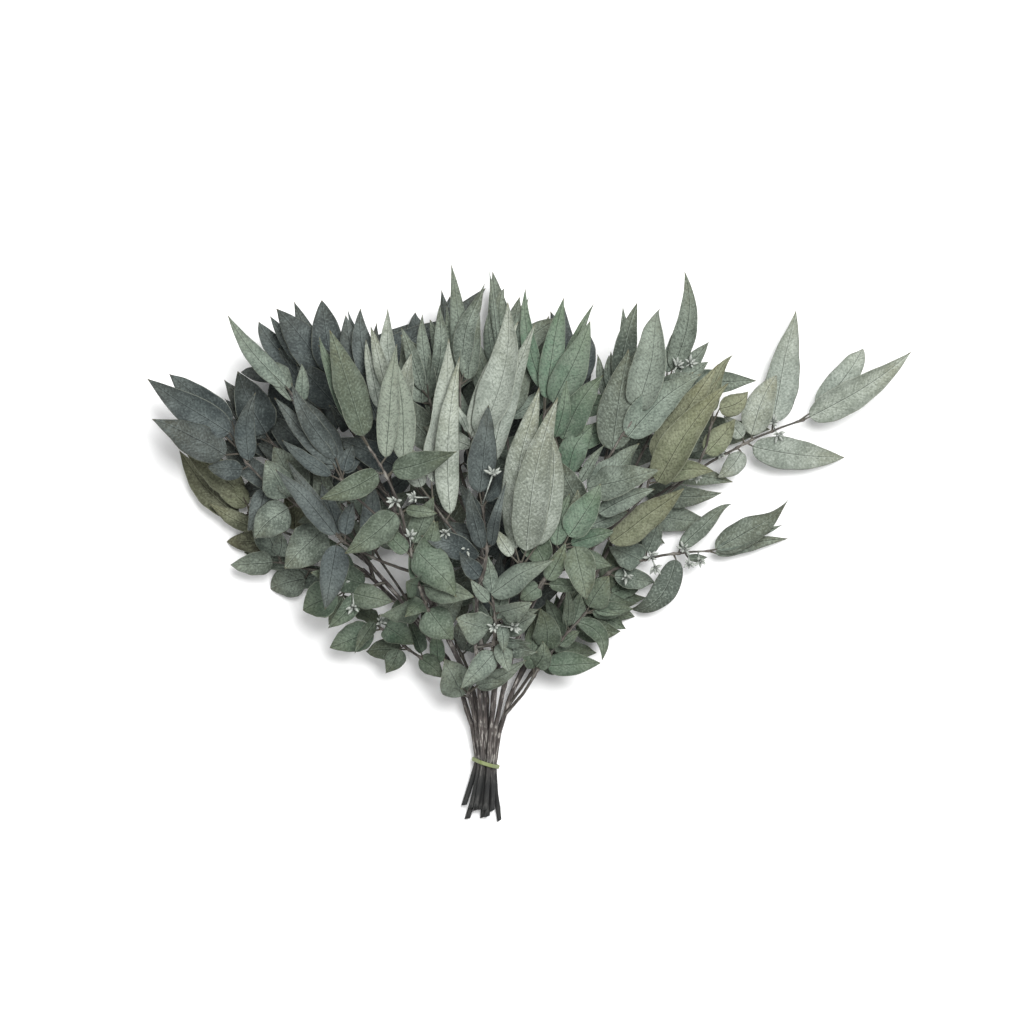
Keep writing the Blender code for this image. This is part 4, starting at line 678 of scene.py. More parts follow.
def settle(growth: Growth, twig: Twig, candidates: Iterator[Blade], hidden: bool) -> bool:
    """Give the twig the first of these leaves that finds room; of hidden ones, the best at closing a gap."""
    for blade in sorted(candidates, key=growth.fresh, reverse=True) if hidden else candidates:
        if hidden and not growth.hidden(blade):
            continue
        whole = Surface.of(blade.rings(GROWN))
        part = Surface.of(blade.rings(GROWN, whole=False)[1:])
        if growth.clear(twig.spray.name, whole, part):
            growth.add(twig.spray.name, Surface.of(blade.rings()),
                       Surface.of(blade.rings(whole=False)[1:]))
            growth.shade(blade)
            twig.blades.append(blade)
            return True
    return False


def grow_bunch() -> tuple[list[Twig], Growth]:
    """Set the stems, then the twigs, then the listed leaves and last the filling."""
    growth = Growth()
    for number, stem in enumerate(STEMS, 1):
        path, _ = stem_path(stem)
        whole = tube(path, stem_radii(stem, path) + GAP)
        if not growth.clear("", whole, whole):
            raise ValueError(f"stem {number} meets {[n for n, s, _ in growth.standing if whole.meets(s)]}")
        growth.add(f"stem_{number:02d}", tube(path, stem_radii(stem, path)))
    twigs = []
    for spray in SPRAYS:
        twig = grow_twig(growth, spray)
        growth.add(spray.name, tube(twig.path, twig.radii))
        twigs.append(twig)
    for index, twig in enumerate(twigs):
        for order, listed in enumerate(twig.spray.leaves):
            chance = seeded(index, Draw.LISTED_LEAF + order)
            if settle(growth, twig, listed_blades(twig, listed, chance), hidden=False):
                growth.roofed(twig.blades[-1])
    growth.close_cover()
    for index, twig in enumerate(twigs):
        for order in range(twig.spray.fill):
            chance = seeded(index, Draw.FILLING_LEAF + order)
            settle(growth, twig, filling_blades(twig, order, chance), hidden=True)
    return twigs, growth


# ---- meshes ----
MM = 0.001


@dataclass
class Skin:
    """Closed tubes gathered into one mesh: each is a grid of rings whose ends are capped.

    A mark is a number or a vector kept at every point, for the materials to read.
    """

    grids: list[np.ndarray] = field(default_factory=list)
    marks: dict[str, list[np.ndarray]] = field(default_factory=dict)

    def add(self, grid: np.ndarray, marks: dict[str, np.ndarray]) -> None:
        """Add a tube.

        Args:
            grid: Its points in millimetres, (ring, point in ring, xyz).
            marks: Its marks, (ring, point in ring) or (ring, point in ring, xyz).
        """
        self.grids.append(grid)
        for name, value in marks.items():
            self.marks.setdefault(name, []).append(value.reshape(-1, *value.shape[2:]))

    def mesh(self, name: str) -> bpy.types.Mesh:
        """The tubes as one mesh.

        Each quad joins two points of a ring to the same two of the next, and one face closes
        the first ring and one the last.

        Args:
            name: The mesh's name.

        Returns:
            The mesh, in metres.
        """
        quads, caps, first = [], [], 0
        for grid in self.grids:
            rings, around = grid.shape[:2]
            here = first + np.arange(rings * around).reshape(rings, around)
            beside = np.roll(here, -1, axis=1)
            quads.append(np.stack([here[:-1], here[1:], beside[1:], beside[:-1]], axis=-1).reshape(-1, 4))
            caps += [here[0], here[-1, ::-1]]
            first += rings * around
        points = np.vstack([grid.reshape(-1, 3) for grid in self.grids]) * MM
        quads = np.vstack(quads)
        corners = np.concatenate([quads.ravel(), *caps])
        sizes = np.concatenate([np.full(len(quads), 4), [len(cap) for cap in caps]])
        mesh = bpy.data.meshes.new(name)
        mesh.vertices.add(len(points))
        mesh.vertices.foreach_set("co", points.astype(np.float32).ravel())
        mesh.loops.add(len(corners))
        mesh.loops.foreach_set("vertex_index", corners.astype(np.int32))
        mesh.polygons.add(len(sizes))
        mesh.polygons.foreach_set("loop_start", (np.cumsum(sizes) - sizes).astype(np.int32))
        mesh.polygons.foreach_set("use_smooth", np.ones(len(sizes), bool))
        for mark, runs in self.marks.items():
            values = np.concatenate(runs).astype(np.float32)
            kind, key = ("FLOAT", "value") if values.ndim == 1 else ("FLOAT_VECTOR", "vector")
            mesh.attributes.new(mark, kind, "POINT").data.foreach_set(key, values.ravel())
        mesh.update(calc_edges=True)
        mesh.validate()
        return mesh


def set_piece(mesh: bpy.types.Mesh, material: bpy.types.Material, node: str) -> None:
    """Put a finished mesh in the scene, in place of the solid that it stands for.

    Args:
        mesh: The piece's mesh.
        material: Its finish.
        node: The solid that it stands for.
    """
    piece = bpy.data.objects.new(mesh.name, mesh)
    bpy.context.scene.collection.objects.link(piece)
    mesh.materials.append(material)
    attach(piece, "root")
    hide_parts(node)
    log.info("%s: %d faces", piece.name, len(mesh.polygons))


# ---- finishes ----
BROWNED, SPECK, MARGIN, STALK_RED = "#7d7458", "#2c3130", "#b4b8a4", "#4a453d"
# The colours that a leaf's light mark lays over it: the pale one is partly bleaching and partly painted
# light, the near-black one partly darker tone and partly painted shade.
BLEACHED_AND_LIT, SHADED = "#c3c8bb", "#15191a"
SCAR, CUT_WOOD, PITH, DYED = "#857f78", "#837a66", "#4d4538", "#181b1b"
# The sizes of patterns, in millimetres.
PATCH_SIZE, MEAL_SIZE = 14.0, 0.8  # a leaf's wax bloom lies in patches, and has a mealy grain
FIBRE_SIZE, BLOT_SIZE = 2.2, 3.0  # its wrinkles as it dried, and its dark blots
VEIN_STEP = 3.6  # between a leaf's side veins
VEIN_SLANT = 1.1  # how far a side vein runs back for each millimetre out
WOBBLE_SIZE, WOBBLE = 6.0, 9.0  # the veins wander by the second over the first
BANK = 0.55  # the paler line beside the midrib lies this far from it
GLAND_STEP = 2.0  # between oil glands: coarser than the real ones, which would not show
FLECK_SIZE = 1.7  # of the meal's flecks: coarser than the real ones, which would not show
RIDGE_SIZE, SCUFF_SIZE, CLOUD_SIZE = 0.9, 1.7, 7.0  # of bark, and the patches where it is scuffed
CUT_GRAIN = 0.6  # of the wood at a cut end
BUD_GRAIN, BUD_SPECK = 0.8, 1.3
MOULD_STEP = 0.55  # between the band's fine lines
CHALK_SIZE = 1.2
PAPER_GRAIN = 2.0


def linear(sheet: str) -> tuple[float, float, float, float]:
    """An sRGB hex colour as the linear one that a shader takes."""
    parts = np.array([int(sheet[at:at + 2], 16) for at in (1, 3, 5)]) / 255
    return (*np.where(parts <= 0.04045, parts / 12.92, ((parts + 0.055) / 1.055) ** 2.4).tolist(), 1.0)


def scale(size: float) -> float:
    """The scale of a pattern whose parts are size millimetres across."""
    return 1 / (size * MM)


class Step(Enum):
    """The kinds of node: each one's type, settings, inputs in the order they are given, and output."""

    PLACE = "ShaderNodeTexCoord", {}, (), "Object"
    MARK = "ShaderNodeAttribute", {}, (), "Vector"
    SPLIT = "ShaderNodeSeparateXYZ", {}, (0,), 0
    RED = "ShaderNodeSeparateColor", {}, (0,), 0
    NOISE = "ShaderNodeTexNoise", {}, ("Vector", "Scale", "Detail"), 0
    CELLS = "ShaderNodeTexVoronoi", {}, ("Vector", "Scale"), "Distance"
    ADD = "ShaderNodeMath", {"operation": "ADD"}, (0, 1), 0
    SUBTRACT = "ShaderNodeMath", {"operation": "SUBTRACT"}, (0, 1), 0
    MULTIPLY = "ShaderNodeMath", {"operation": "MULTIPLY"}, (0, 1), 0
    LEAST = "ShaderNodeMath", {"operation": "MINIMUM"}, (0, 1), 0
    POSITIVE = "ShaderNodeMath", {"operation": "ABSOLUTE"}, (0,), 0
    SINE = "ShaderNodeMath", {"operation": "SINE"}, (0,), 0
    # A value that eases from the fourth input to the fifth as the first runs from the second to the third.
    EASE = "ShaderNodeMapRange", {"interpolation_type": "SMOOTHSTEP"}, (0, 1, 2, 3, 4), 0
    # The second colour laid over the first, by the share that comes third.
    LAY = "ShaderNodeMix", {"data_type": "RGBA"}, (6, 7, 0), 2
    RELIEF = "ShaderNodeBump", {}, ("Height", "Distance"), 0


@dataclass
class Paint:
    """A material in the making, around a Principled shader."""

    name: str
    material: bpy.types.Material = field(init=False)
    shader: bpy.types.Node = field(init=False)
    spot: bpy.types.NodeSocket = field(init=False)

    def __post_init__(self) -> None:
        """Start from a bare Principled shader and the object's own coordinates."""
        self.material = bpy.data.materials.new(self.name)
        self.material.use_nodes = True
        self.shader = self.material.node_tree.nodes["Principled BSDF"]
        self.spot = self.add(Step.PLACE)

    def add(self, step: Step, *inputs: object, **settings: object) -> bpy.types.NodeSocket:
        """Add a node.

        Args:
            step: Its kind.
            inputs: Its inputs, each a value, an sRGB hex colour or another node's socket.
            settings: Its further settings.

        Returns:
            Its main output.
        """
        kind, fixed, slots, output = step.value
        node = self.material.node_tree.nodes.new(kind)
        for name, value in {**fixed, **settings}.items():
            setattr(node, name, value)
        self.fill(node, dict(zip(slots, inputs)))
        return node.outputs[output]

    def fill(self, node: bpy.types.Node, inputs: dict) -> None:
        """Fill a node's inputs with values, with hex colours or with other nodes' sockets."""
        for name, value in inputs.items():
            if isinstance(value, bpy.types.NodeSocket):
                self.material.node_tree.links.new(value, node.inputs[name])
            else:
                node.inputs[name].default_value = linear(value) if isinstance(value, str) else value

    def layers(self, colour: object, *rows: tuple) -> bpy.types.NodeSocket:
        """Colours laid over one another, each by a share that eases as a pattern runs.

        Args:
            colour: The lowest colour.
            rows: Each layer's colour, its pattern, the pattern's start and end, and the shares there.

        Returns:
            The colour of them all.
        """
        for sheet, *pattern in rows:
            colour = self.add(Step.LAY, colour, sheet, self.add(Step.EASE, *pattern))
        return colour

    def finish(self, colour: object, roughness: object, ior: float, height: object, depth: float
               ) -> bpy.types.Material:
        """Give the shader its inputs.

        Args:
            colour: The base colour.
            roughness: The roughness.
            ior: The index of refraction.
            height: The relief's pattern.
            depth: The relief's depth in millimetres.

        Returns:
            The material.
        """
        self.fill(self.shader, {"Base Color": colour, "Roughness": roughness, "IOR": ior,
                                "Normal": self.add(Step.RELIEF, height, depth * MM)})
        return self.material


@dataclass(frozen=True)
class DriedLeaf:
    """A dried and dyed eucalyptus leaf: matt and leathery, under a mealy wax bloom.

    The bloom lies in patches with a grain finer than a millimetre, so that the face looks
    dusty. The dye has faded to a warmer colour towards the tip. The midrib is a thin dark
    groove with a paler edge, the side veins are faint slanting lines, and oil glands show as
    dark specks. The underside is paler.
    """

    skin: str
    other: str
    bloom: str
    rib: str
    faded: str

    def paint(self, name: str) -> bpy.types.Material:
        """The leaf's material.

        Args:
            name: The material's name.

        Returns:
            The material.
        """
        paint = Paint(name)
        add, spot = paint.add, paint.spot
        down, across, upper = add(Step.SPLIT, add(Step.MARK, attribute_name="place_mm")).node.outputs
        run, edge, _ = add(Step.SPLIT, add(Step.MARK, attribute_name="share")).node.outputs
        tint, age, light = add(Step.SPLIT, add(Step.MARK, attribute_name="leaf")).node.outputs
        out, rim = add(Step.POSITIVE, across), add(Step.POSITIVE, edge)
        patches = add(Step.NOISE, spot, scale(PATCH_SIZE), 4.0)
        meal = add(Step.NOISE, spot, scale(MEAL_SIZE), 3.0)
        fibre = add(Step.NOISE, spot, scale(FIBRE_SIZE), 4.0)
        flecks = add(Step.NOISE, spot, scale(FLECK_SIZE), 2.0)

        fading = add(Step.ADD, add(Step.EASE, run, 0.35, 1.0, 0.0, 0.45), add(Step.MULTIPLY, age, 0.6))
        # The light mark, partly the leaf's own tone and partly painted light and shade, also widens the
        # bloom's patches.
        cloud = add(Step.EASE, add(Step.ADD, patches, add(Step.MULTIPLY, light, 0.4)), 0.36, 0.66)
        bloom = add(Step.MULTIPLY, cloud, add(Step.EASE, meal, 0.34, 0.62, 0.10, 0.75))
        bloom = add(Step.ADD, bloom, add(Step.EASE, upper, 0.0, 1.0, 0.28, 0.0))
        colour = add(Step.LAY, self.skin, self.other, tint)
        colour = add(Step.LAY, colour, self.faded, add(Step.LEAST, fading, 0.85))
        colour = add(Step.LAY, colour, self.bloom, bloom)
        # Whole leaves made paler or darker by their light mark: partly their own tone, partly painted light
        # and painted shade.
        colour = paint.layers(colour, (BLEACHED_AND_LIT, light, 0.0, 1.0), (SHADED, light, -1.0, 0.0, 1.0, 0.0),
                              (self.bloom, flecks, 0.52, 0.66, 0.0, 0.42),
                              (self.rib, flecks, 0.34, 0.48, 0.34, 0.0),
                              (self.rib, fibre, 0.50, 0.70, 0.0, 0.38),
                              (self.rib, meal, 0.52, 0.66, 0.0, 0.22))

        wobble = add(Step.MULTIPLY, add(Step.NOISE, spot, scale(WOBBLE_SIZE), 3.0), WOBBLE)
        slant = add(Step.SUBTRACT, add(Step.ADD, down, wobble), add(Step.MULTIPLY, out, VEIN_SLANT))
        wave = add(Step.SINE, add(Step.MULTIPLY, slant, 2 * np.pi / VEIN_STEP))
        inner = add(Step.EASE, rim, 0.80, 0.95, 1.0, 0.0)
        veins = add(Step.MULTIPLY, add(Step.EASE, wave, 0.78, 1.0), inner)
        banks = add(Step.MULTIPLY, add(Step.EASE, wave, -1.0, -0.78, 1.0, 0.0), inner)
        beside = add(Step.POSITIVE, add(Step.SUBTRACT, across, BANK))
        groove = add(Step.EASE, out, 0.08, 0.30, 1.0, 0.0)
        glands = add(Step.CELLS, spot, scale(GLAND_STEP))
        chosen = add(Step.EASE, add(Step.RED, glands.node.outputs["Color"]), 0.62, 0.75)
        specks = add(Step.MULTIPLY, add(Step.EASE, glands, 0.14, 0.30, 1.0, 0.0), chosen)
        lines = ((self.rib, veins, add(Step.EASE, patches, 0.4, 0.62, 0.02, 0.20)),
                 (self.bloom, banks, add(Step.EASE, patches, 0.4, 0.62, 0.02, 0.16)),
                 (self.bloom, add(Step.EASE, beside, 0.1, 0.45, 1.0, 0.0), 0.35),
                 (self.rib, groove, add(Step.EASE, run, 0.1, 0.9, 0.85, 0.35)), (SPECK, specks, 0.38))
        for sheet, line, strength in lines:
            colour = add(Step.LAY, colour, sheet, add(Step.MULTIPLY, line, strength))

        blots = add(Step.NOISE, spot, scale(BLOT_SIZE), 5.0)
        # Towards the margin the rib colour darkens each leaf's edge: painted shade, standing for the shadow
        # along overlapping and curling edges.
        colour = paint.layers(colour, (SPECK, blots, 0.66, 0.74, 0.0, 0.45),
                              (self.rib, rim, 0.45, 0.95, 0.0, 0.30),
                              (MARGIN, rim, 0.94, 0.99, 0.0, 0.28), (BROWNED, run, 0.95, 1.0, 0.0, 0.6),
                              (STALK_RED, down, -1.5, 1.5, 0.85, 0.0))
        sunk = add(Step.ADD, add(Step.MULTIPLY, veins, 0.4), groove)
        height = add(Step.ADD, add(Step.MULTIPLY, meal, 0.6), add(Step.MULTIPLY, fibre, 0.8))
        paint.fill(paint.shader, {"Specular IOR Level": 0.35})
        return paint.finish(colour, add(Step.EASE, meal, 0.3, 0.7, 0.58, 0.80), 1.45,
                            add(Step.SUBTRACT, height, sunk), 0.4)


@dataclass(frozen=True)
class Bark:
    """Young eucalyptus bark: dry and finely ridged, with pale scuffs and leaf scars.

    The ridges run along the stem. Its foot stood in the dye and is nearly black, and the cut
    end shows straw-coloured wood round a pith.
    """

    skin: str
    ridge: str
    scuff: str
    worn: float

    def paint(self, name: str) -> bpy.types.Material:
        """The bark's material.

        Args:
            name: The material's name.

        Returns:
            The material.
        """
        paint = Paint(name)
        add, spot = paint.add, paint.spot
        joint, cut, dyed = add(Step.SPLIT, add(Step.MARK, attribute_name="wood")).node.outputs
        grain = add(Step.MARK, attribute_name="grain")
        ridges = add(Step.NOISE, grain, scale(RIDGE_SIZE), 4.0)
        cloud = add(Step.NOISE, spot, scale(CLOUD_SIZE), 3.0)
        rubbed = add(Step.EASE, add(Step.NOISE, grain, scale(SCUFF_SIZE), 5.0), 0.50, 0.58)
        scuffs = add(Step.MULTIPLY, rubbed, add(Step.EASE, cloud, 0.40, 0.62, 0.15 * self.worn, self.worn))
        scars = add(Step.MULTIPLY, joint, add(Step.EASE, ridges, 0.4, 0.6, 0.05, 0.35))
        wood = paint.layers(CUT_WOOD, (PITH, add(Step.NOISE, spot, scale(CUT_GRAIN), 3.0), 0.40, 0.65))
        colour = paint.layers(self.skin, (self.ridge, ridges, 0.35, 0.66))
        for sheet, share in ((self.scuff, scuffs), (SCAR, scars), (DYED, add(Step.MULTIPLY, dyed, 0.9)),
                             (wood, cut)):
            colour = add(Step.LAY, colour, sheet, share)
        return paint.finish(colour, 0.82, 1.48, add(Step.ADD, ridges, add(Step.MULTIPLY, cloud, 0.6)), 0.5)


@dataclass(frozen=True)
class MealyBud:
    """A dried flower bud: a grey-green cup and a paler pointed cap, dusted with wax."""

    cup: str = "#646a64"
    cap: str = "#9a9f98"
    dust: str = "#bcc0b9"

    def paint(self, name: str) -> bpy.types.Material:
        """The buds' material.

        Args:
            name: The material's name.

        Returns:
            The material.
        """
        paint = Paint(name)
        add, spot = paint.add, paint.spot
        run = add(Step.SPLIT, add(Step.MARK, attribute_name="bud"))
        grain = add(Step.NOISE, spot, scale(BUD_GRAIN), 4.0)
        specks = add(Step.NOISE, spot, scale(BUD_SPECK), 3.0)
        colour = paint.layers(self.cup, (self.cap, run, 0.35, 0.85), (self.dust, grain, 0.45, 0.66, 0.0, 0.7),
                              (SPECK, specks, 0.60, 0.70, 0.0, 0.5))
        return paint.finish(colour, add(Step.EASE, grain, 0.3, 0.7, 0.6, 0.85), 1.45, grain, 0.3)


@dataclass(frozen=True)
class Latex:
    """A rubber band: moulded natural latex, satin, dusted with chalk, with fine lines along it."""

    colour: str = "#6f7a4a"
    chalk: str = "#939b70"

    def paint(self, name: str) -> bpy.types.Material:
        """The band's material.

        Args:
            name: The material's name.

        Returns:
            The material.
        """
        paint = Paint(name)
        add = paint.add
        _, across, _ = add(Step.SPLIT, add(Step.MARK, attribute_name="band_mm")).node.outputs
        dust = add(Step.NOISE, paint.spot, scale(CHALK_SIZE), 4.0)
        lines = add(Step.SINE, add(Step.MULTIPLY, across, 2 * np.pi / MOULD_STEP))
        colour = paint.layers(self.colour, (self.chalk, dust, 0.45, 0.75, 0.0, 0.6))
        return paint.finish(colour, add(Step.EASE, dust, 0.3, 0.7, 0.40, 0.62), 1.52,
                            add(Step.ADD, dust, add(Step.MULTIPLY, lines, 0.4)), 0.12)


LEAF_FINISHES = {
    Tone.SLATE: DriedLeaf("#343c3c", "#4b5454", "#666f6c", "#1f2424", "#4a4b40"),
    Tone.GREY: DriedLeaf("#49524a", "#687469", "#889387", "#2f352f", "#6b6d59"),
    Tone.PALE: DriedLeaf("#6b7368", "#8b948b", "#a8afa5", "#474e46", "#7f7e66"),
    Tone.GREEN: DriedLeaf("#454f42", "#5a735f", "#737f70", "#2b332b", "#5f624b"),
    Tone.OLIVE: DriedLeaf("#474839", "#6c745c", "#888c75", "#323325", "#706e52"),
}
# Each spray's place between the two colours of its tone, and how much its leaves stray from it. The darkest
# place, given to the hidden sprays inner_centre, back_middle and back_low_right under the seen leaves, is
# painted shade.
TINTS = {"centre_front": 0.25, "centre_upper": 0.85, "centre_left": 1.0, "crown_grey": 0.7,
         "right_arm_upper": 0.8, "crown_green": 0.9, "right_green": 0.9, "upper_left": 0.1,
         "low_left": 0.15, "mid_left": 0.15, "low_right": 0.2, "centre_right": 0.3, "back_low_right": 0.0,
         "left_low_inner": 0.2, "left_outer": 0.4, "left_dark": 0.1, "crown_left": 0.25,
         "crown_far_left": 0.3, "left_front": 0.9, "left_mid": 0.25, "left_low": 0.3,
         "right_upper": 0.75, "right_front": 0.45, "crown_far_right": 0.5, "right_arm_lower": 0.35,
         "left_edge": 0.2, "right_olive": 0.8, "left_wisp": 0.8, "inner_centre": 0.0, "back_middle": 0.0}
STRAY, LIGHT_STRAY = 0.2, 0.06
# How far single leaves are made paler, or below zero darker, as shares, by their order on the spray: partly
# their own bleached or darker tone, partly painted light and painted shade.
# Filling leaves lie under the seen ones and are darkened by this share: painted shade.
FILL_SHADE = -0.14
LIGHTS = {
    "upper_left": {0: 0.07, 2: -0.18, 4: 0.40, 5: 0.30, 6: -0.26}, "left_outer": {2: -0.24},
    "centre_front": {0: -0.32}, "centre_left": {1: 0.15}, "right_upper": {0: -0.22, 1: 0.28},
    "right_arm_upper": {4: -0.22, 5: -0.15}, "right_arm_lower": {0: -0.15, 3: -0.45, 5: -0.20},
    "crown_left": {0: -0.30, 3: -0.15}, "crown_green": {1: 0.09}, "centre_upper": {0: 0.12, 1: 0.25},
    "left_edge": {0: 0.03}, "left_front": {0: 0.07},
}


# ---- the bunch ----
@dataclass(frozen=True)
class LeafShape:
    """How a leaf is made: its rings and thickness, and how its blade dried out of flat.

    Lengths are in millimetres and angles in radians. Of a pair, an even draw lies between
    both, and a normal one has the first for its middle and the second for its spread.
    """

    around: int = 16
    stalk_rings: int = 4
    blade_rings: int = 24
    crowded: float = 0.6  # the share of the rings' places that is crowded towards the stalk
    crowding: float = 1.5  # and the power that crowds it
    thickness: float = 0.42
    thinner: float = 1.2  # the half width under which the blade thins
    stalk: float = 0.62
    flare: float = 0.4  # how much wider the stalk is at its foot
    keel: float = 0.35
    keel_width: float = 0.55
    tip: float = 0.12
    opening: float = 0.05
    drawn_out: float = 0.10
    drawn_least: float = 0.4
    drawn_most: float = 1.4
    fuller: float = 1.06
    worn: float = 0.02
    worn_beats: tuple[float, float] = (2, 5)
    fold: tuple[float, float] = (0.06, 0.34)
    fold_round: float = 0.02
    fold_rest: float = 0.14
    cup: tuple[float, float] = (0.02, 0.16)
    wave: tuple[float, float] = (0.03, 0.14)
    wave_beats: tuple[float, float] = (1.2, 3.2)
    uneven: float = 0.05
    sag: float = 0.012
    sag_beats: tuple[float, float] = (0.8, 1.6)
    end_from: float = 0.35
    swing: float = 0.065
    curl: float = 0.05
    wring: float = 0.45
    age: tuple[float, float] = (0.1, 0.25)
    clearance: float = 0.3

    def outline(self, blade: Blade, u: np.ndarray, chance: np.random.Generator) -> np.ndarray:
        """Half the blade's width at shares u of its length, with a long leaf's tip drawn out the most."""
        length = np.linalg.norm(blade.tip - blade.base)
        drawn = BLADE_OUT + self.drawn_out * np.clip(length / LONG_FILL, self.drawn_least, self.drawn_most)
        peak = BLADE_IN / (BLADE_IN + drawn)
        full = peak**BLADE_IN * (1 - peak)**drawn
        grown = blade.width * self.fuller / 2 * u**BLADE_IN * (1 - u)**drawn / full
        worn = 1 + self.worn * np.sin(2 * np.pi * (u * chance.uniform(*self.worn_beats) + chance.uniform()))
        return np.maximum(grown * worn, np.where(u < 0.5, self.stalk, self.tip))

    def height(self, u: np.ndarray, x: np.ndarray, z: np.ndarray, half: np.ndarray,
               chance: np.random.Generator) -> np.ndarray:
        """How far each point of the blade stands over its midrib.

        It is a V with a rounded foot, plus a cup that grows with the square of the way out to
        the margin, plus waves that grow with its cube, plus half the thickness up or down. The
        keel is a bell curve under the midrib. All of it opens out of the round stalk.

        Args:
            u: The rings' places as shares of the blade.
            x: The points' places across, from -1 to 1.
            z: The points' places through the thickness, from -1 to 1.
            half: The blade's half width at each ring.
            chance: The leaf's source of chance.

        Returns:
            The heights, (ring, point in ring).
        """
        fold, cup, wave = chance.uniform(*self.fold), chance.normal(*self.cup), chance.uniform(*self.wave)
        beats, phases = chance.uniform(*self.wave_beats, 2), chance.uniform(0, 1, 2)
        ripples = np.sin(2 * np.pi * (beats * u + phases))
        ripple = np.where(x > 0, ripples[:, :1], ripples[:, 1:])
        rounded = np.sqrt(x**2 + self.fold_round) - self.fold_rest
        bend = fold * rounded + cup * x**2 + wave * np.abs(x)**3 * ripple
        thick = self.thickness / 2 * np.minimum(1, half / self.thinner) * z
        keel = self.keel * np.exp(-(x * half / self.keel_width)**2) * (z < 0) * (1 - u)
        opened = np.clip(u / self.opening, 0, 1)
        return opened * (half * bend + thick - keel) + (1 - opened) * self.stalk * z

    def blade(self, blade: Blade, u: np.ndarray, x: np.ndarray, z: np.ndarray, half: np.ndarray,
              chance: np.random.Generator) -> np.ndarray:
        """The blade's surface: its sections carried along a midrib that sags, curls and swings.

        Args:
            blade: The leaf's course and size.
            u: The rings' places as shares of the blade.
            x: The points' places across, from -1 to 1.
            z: The points' places through the thickness, from -1 to 1.
            half: The blade's half width at each ring.
            chance: The leaf's source of chance.

        Returns:
            The points, (ring, point in ring, xyz).
        """
        spine, sides, faces = blade.course(u[:, 0])
        length = np.linalg.norm(blade.tip - blade.base)
        height = self.height(u, x, z, half, chance)
        uneven = 1 + np.clip(u / self.opening, 0, 1) * chance.normal(0, self.uneven) * np.sign(x)
        beats = 2 * np.pi * (chance.uniform(*self.sag_beats) * u + chance.uniform())
        sag = self.sag * length * np.sin(np.pi * u) * np.sin(beats)
        end = np.clip((u - self.end_from) / (1 - self.end_from), 0, 1)**2
        wrung = chance.normal(0, self.wring) * end
        cos, sin = np.cos(wrung), np.sin(wrung)
        sides, faces = sides * cos + faces * sin, faces * cos - sides * sin
        spine = spine + faces * (sag + chance.normal(0, self.curl) * length * end)
        spine = spine + sides * chance.normal(0, self.swing) * length * end
        return (spine[:, None] + sides[:, None] * (half * x * uneven)[..., None]
                + faces[:, None] * height[..., None])

    def grown(self, blade: Blade, chance: np.random.Generator, shift: np.ndarray, tint: float,
              light: float) -> tuple[np.ndarray, dict[str, np.ndarray]]:
        """The leaf's surface.

        A ring's points stand at even angles round an ellipse, which is a circle on the stalk
        and flattens into the blade.

        Args:
            blade: The leaf's course and size.
            chance: Its source of chance.
            shift: The move from the plan to the bunch's own frame.
            tint: Its spray's place between the two colours of its tone.
            light: How far it is made paler, or below zero darker, as a share: partly its own tone, partly
                painted light and painted shade.

        Returns:
            Its points in millimetres, (ring, point in ring, xyz), and its marks.
        """
        turn = 2 * np.pi * np.arange(self.around) / self.around
        x, z = np.cos(turn)[None], np.sin(turn)[None]
        even = np.linspace(0, 1, self.blade_rings)
        u = ((1 - self.crowded) * even + self.crowded * even**self.crowding)[:, None]
        half = self.outline(blade, u, chance)
        body = self.blade(blade, u, x, z, half, chance)

        lead = np.linspace(0, 1, self.stalk_rings, endpoint=False)[:, None]
        across, up = frames(blade.base - blade.foot)
        girth = self.stalk * (1 + self.flare * (1 - lead)**2)
        ring = across * x[0][:, None] + up * z[0][:, None]
        stalk = (blade.foot + (blade.base - blade.foot) * lead)[:, None] + girth[..., None] * ring
        grid = np.concatenate([stalk, body]) + shift
        grid[..., 2] += np.maximum(0, self.clearance - grid[..., 2].min(axis=1, keepdims=True))

        flat, bare = np.zeros((len(grid), self.around)), np.zeros((self.stalk_rings, self.around))
        before = -np.linalg.norm(blade.base - blade.foot) * (1 - lead)
        down = np.vstack([before, u * np.linalg.norm(blade.tip - blade.base)]) + flat
        place = np.stack([down, np.vstack([bare, half * x]), flat + (z > -0.1)], axis=-1)
        share = np.stack([np.vstack([0 * lead, u]) + flat, np.vstack([bare, x + 0 * u]), flat], axis=-1)
        own = np.array((np.clip(tint + chance.normal(0, STRAY), 0, 1), max(0.0, chance.normal(*self.age)),
                        light + chance.normal(0, LIGHT_STRAY)))
        return grid, {"place_mm": place, "share": share, "leaf": np.broadcast_to(own, (*flat.shape, 3))}


DYE_EDGE = 25.0  # over how many millimetres the dye ends
GRAIN_STRETCH = 0.14  # the bark's pattern is drawn out along the stem by one over this
# The rings that close a rod's ends: each one's size, and how far out it stands, in radii.
CUT_RINGS = ((0.55, 0.0), (0.86, 0.0))
FOOT_RINGS = ((0.4, 0.6), (0.8, 0.3))
END_RINGS = ((0.8, 0.4), (0.35, 0.7))


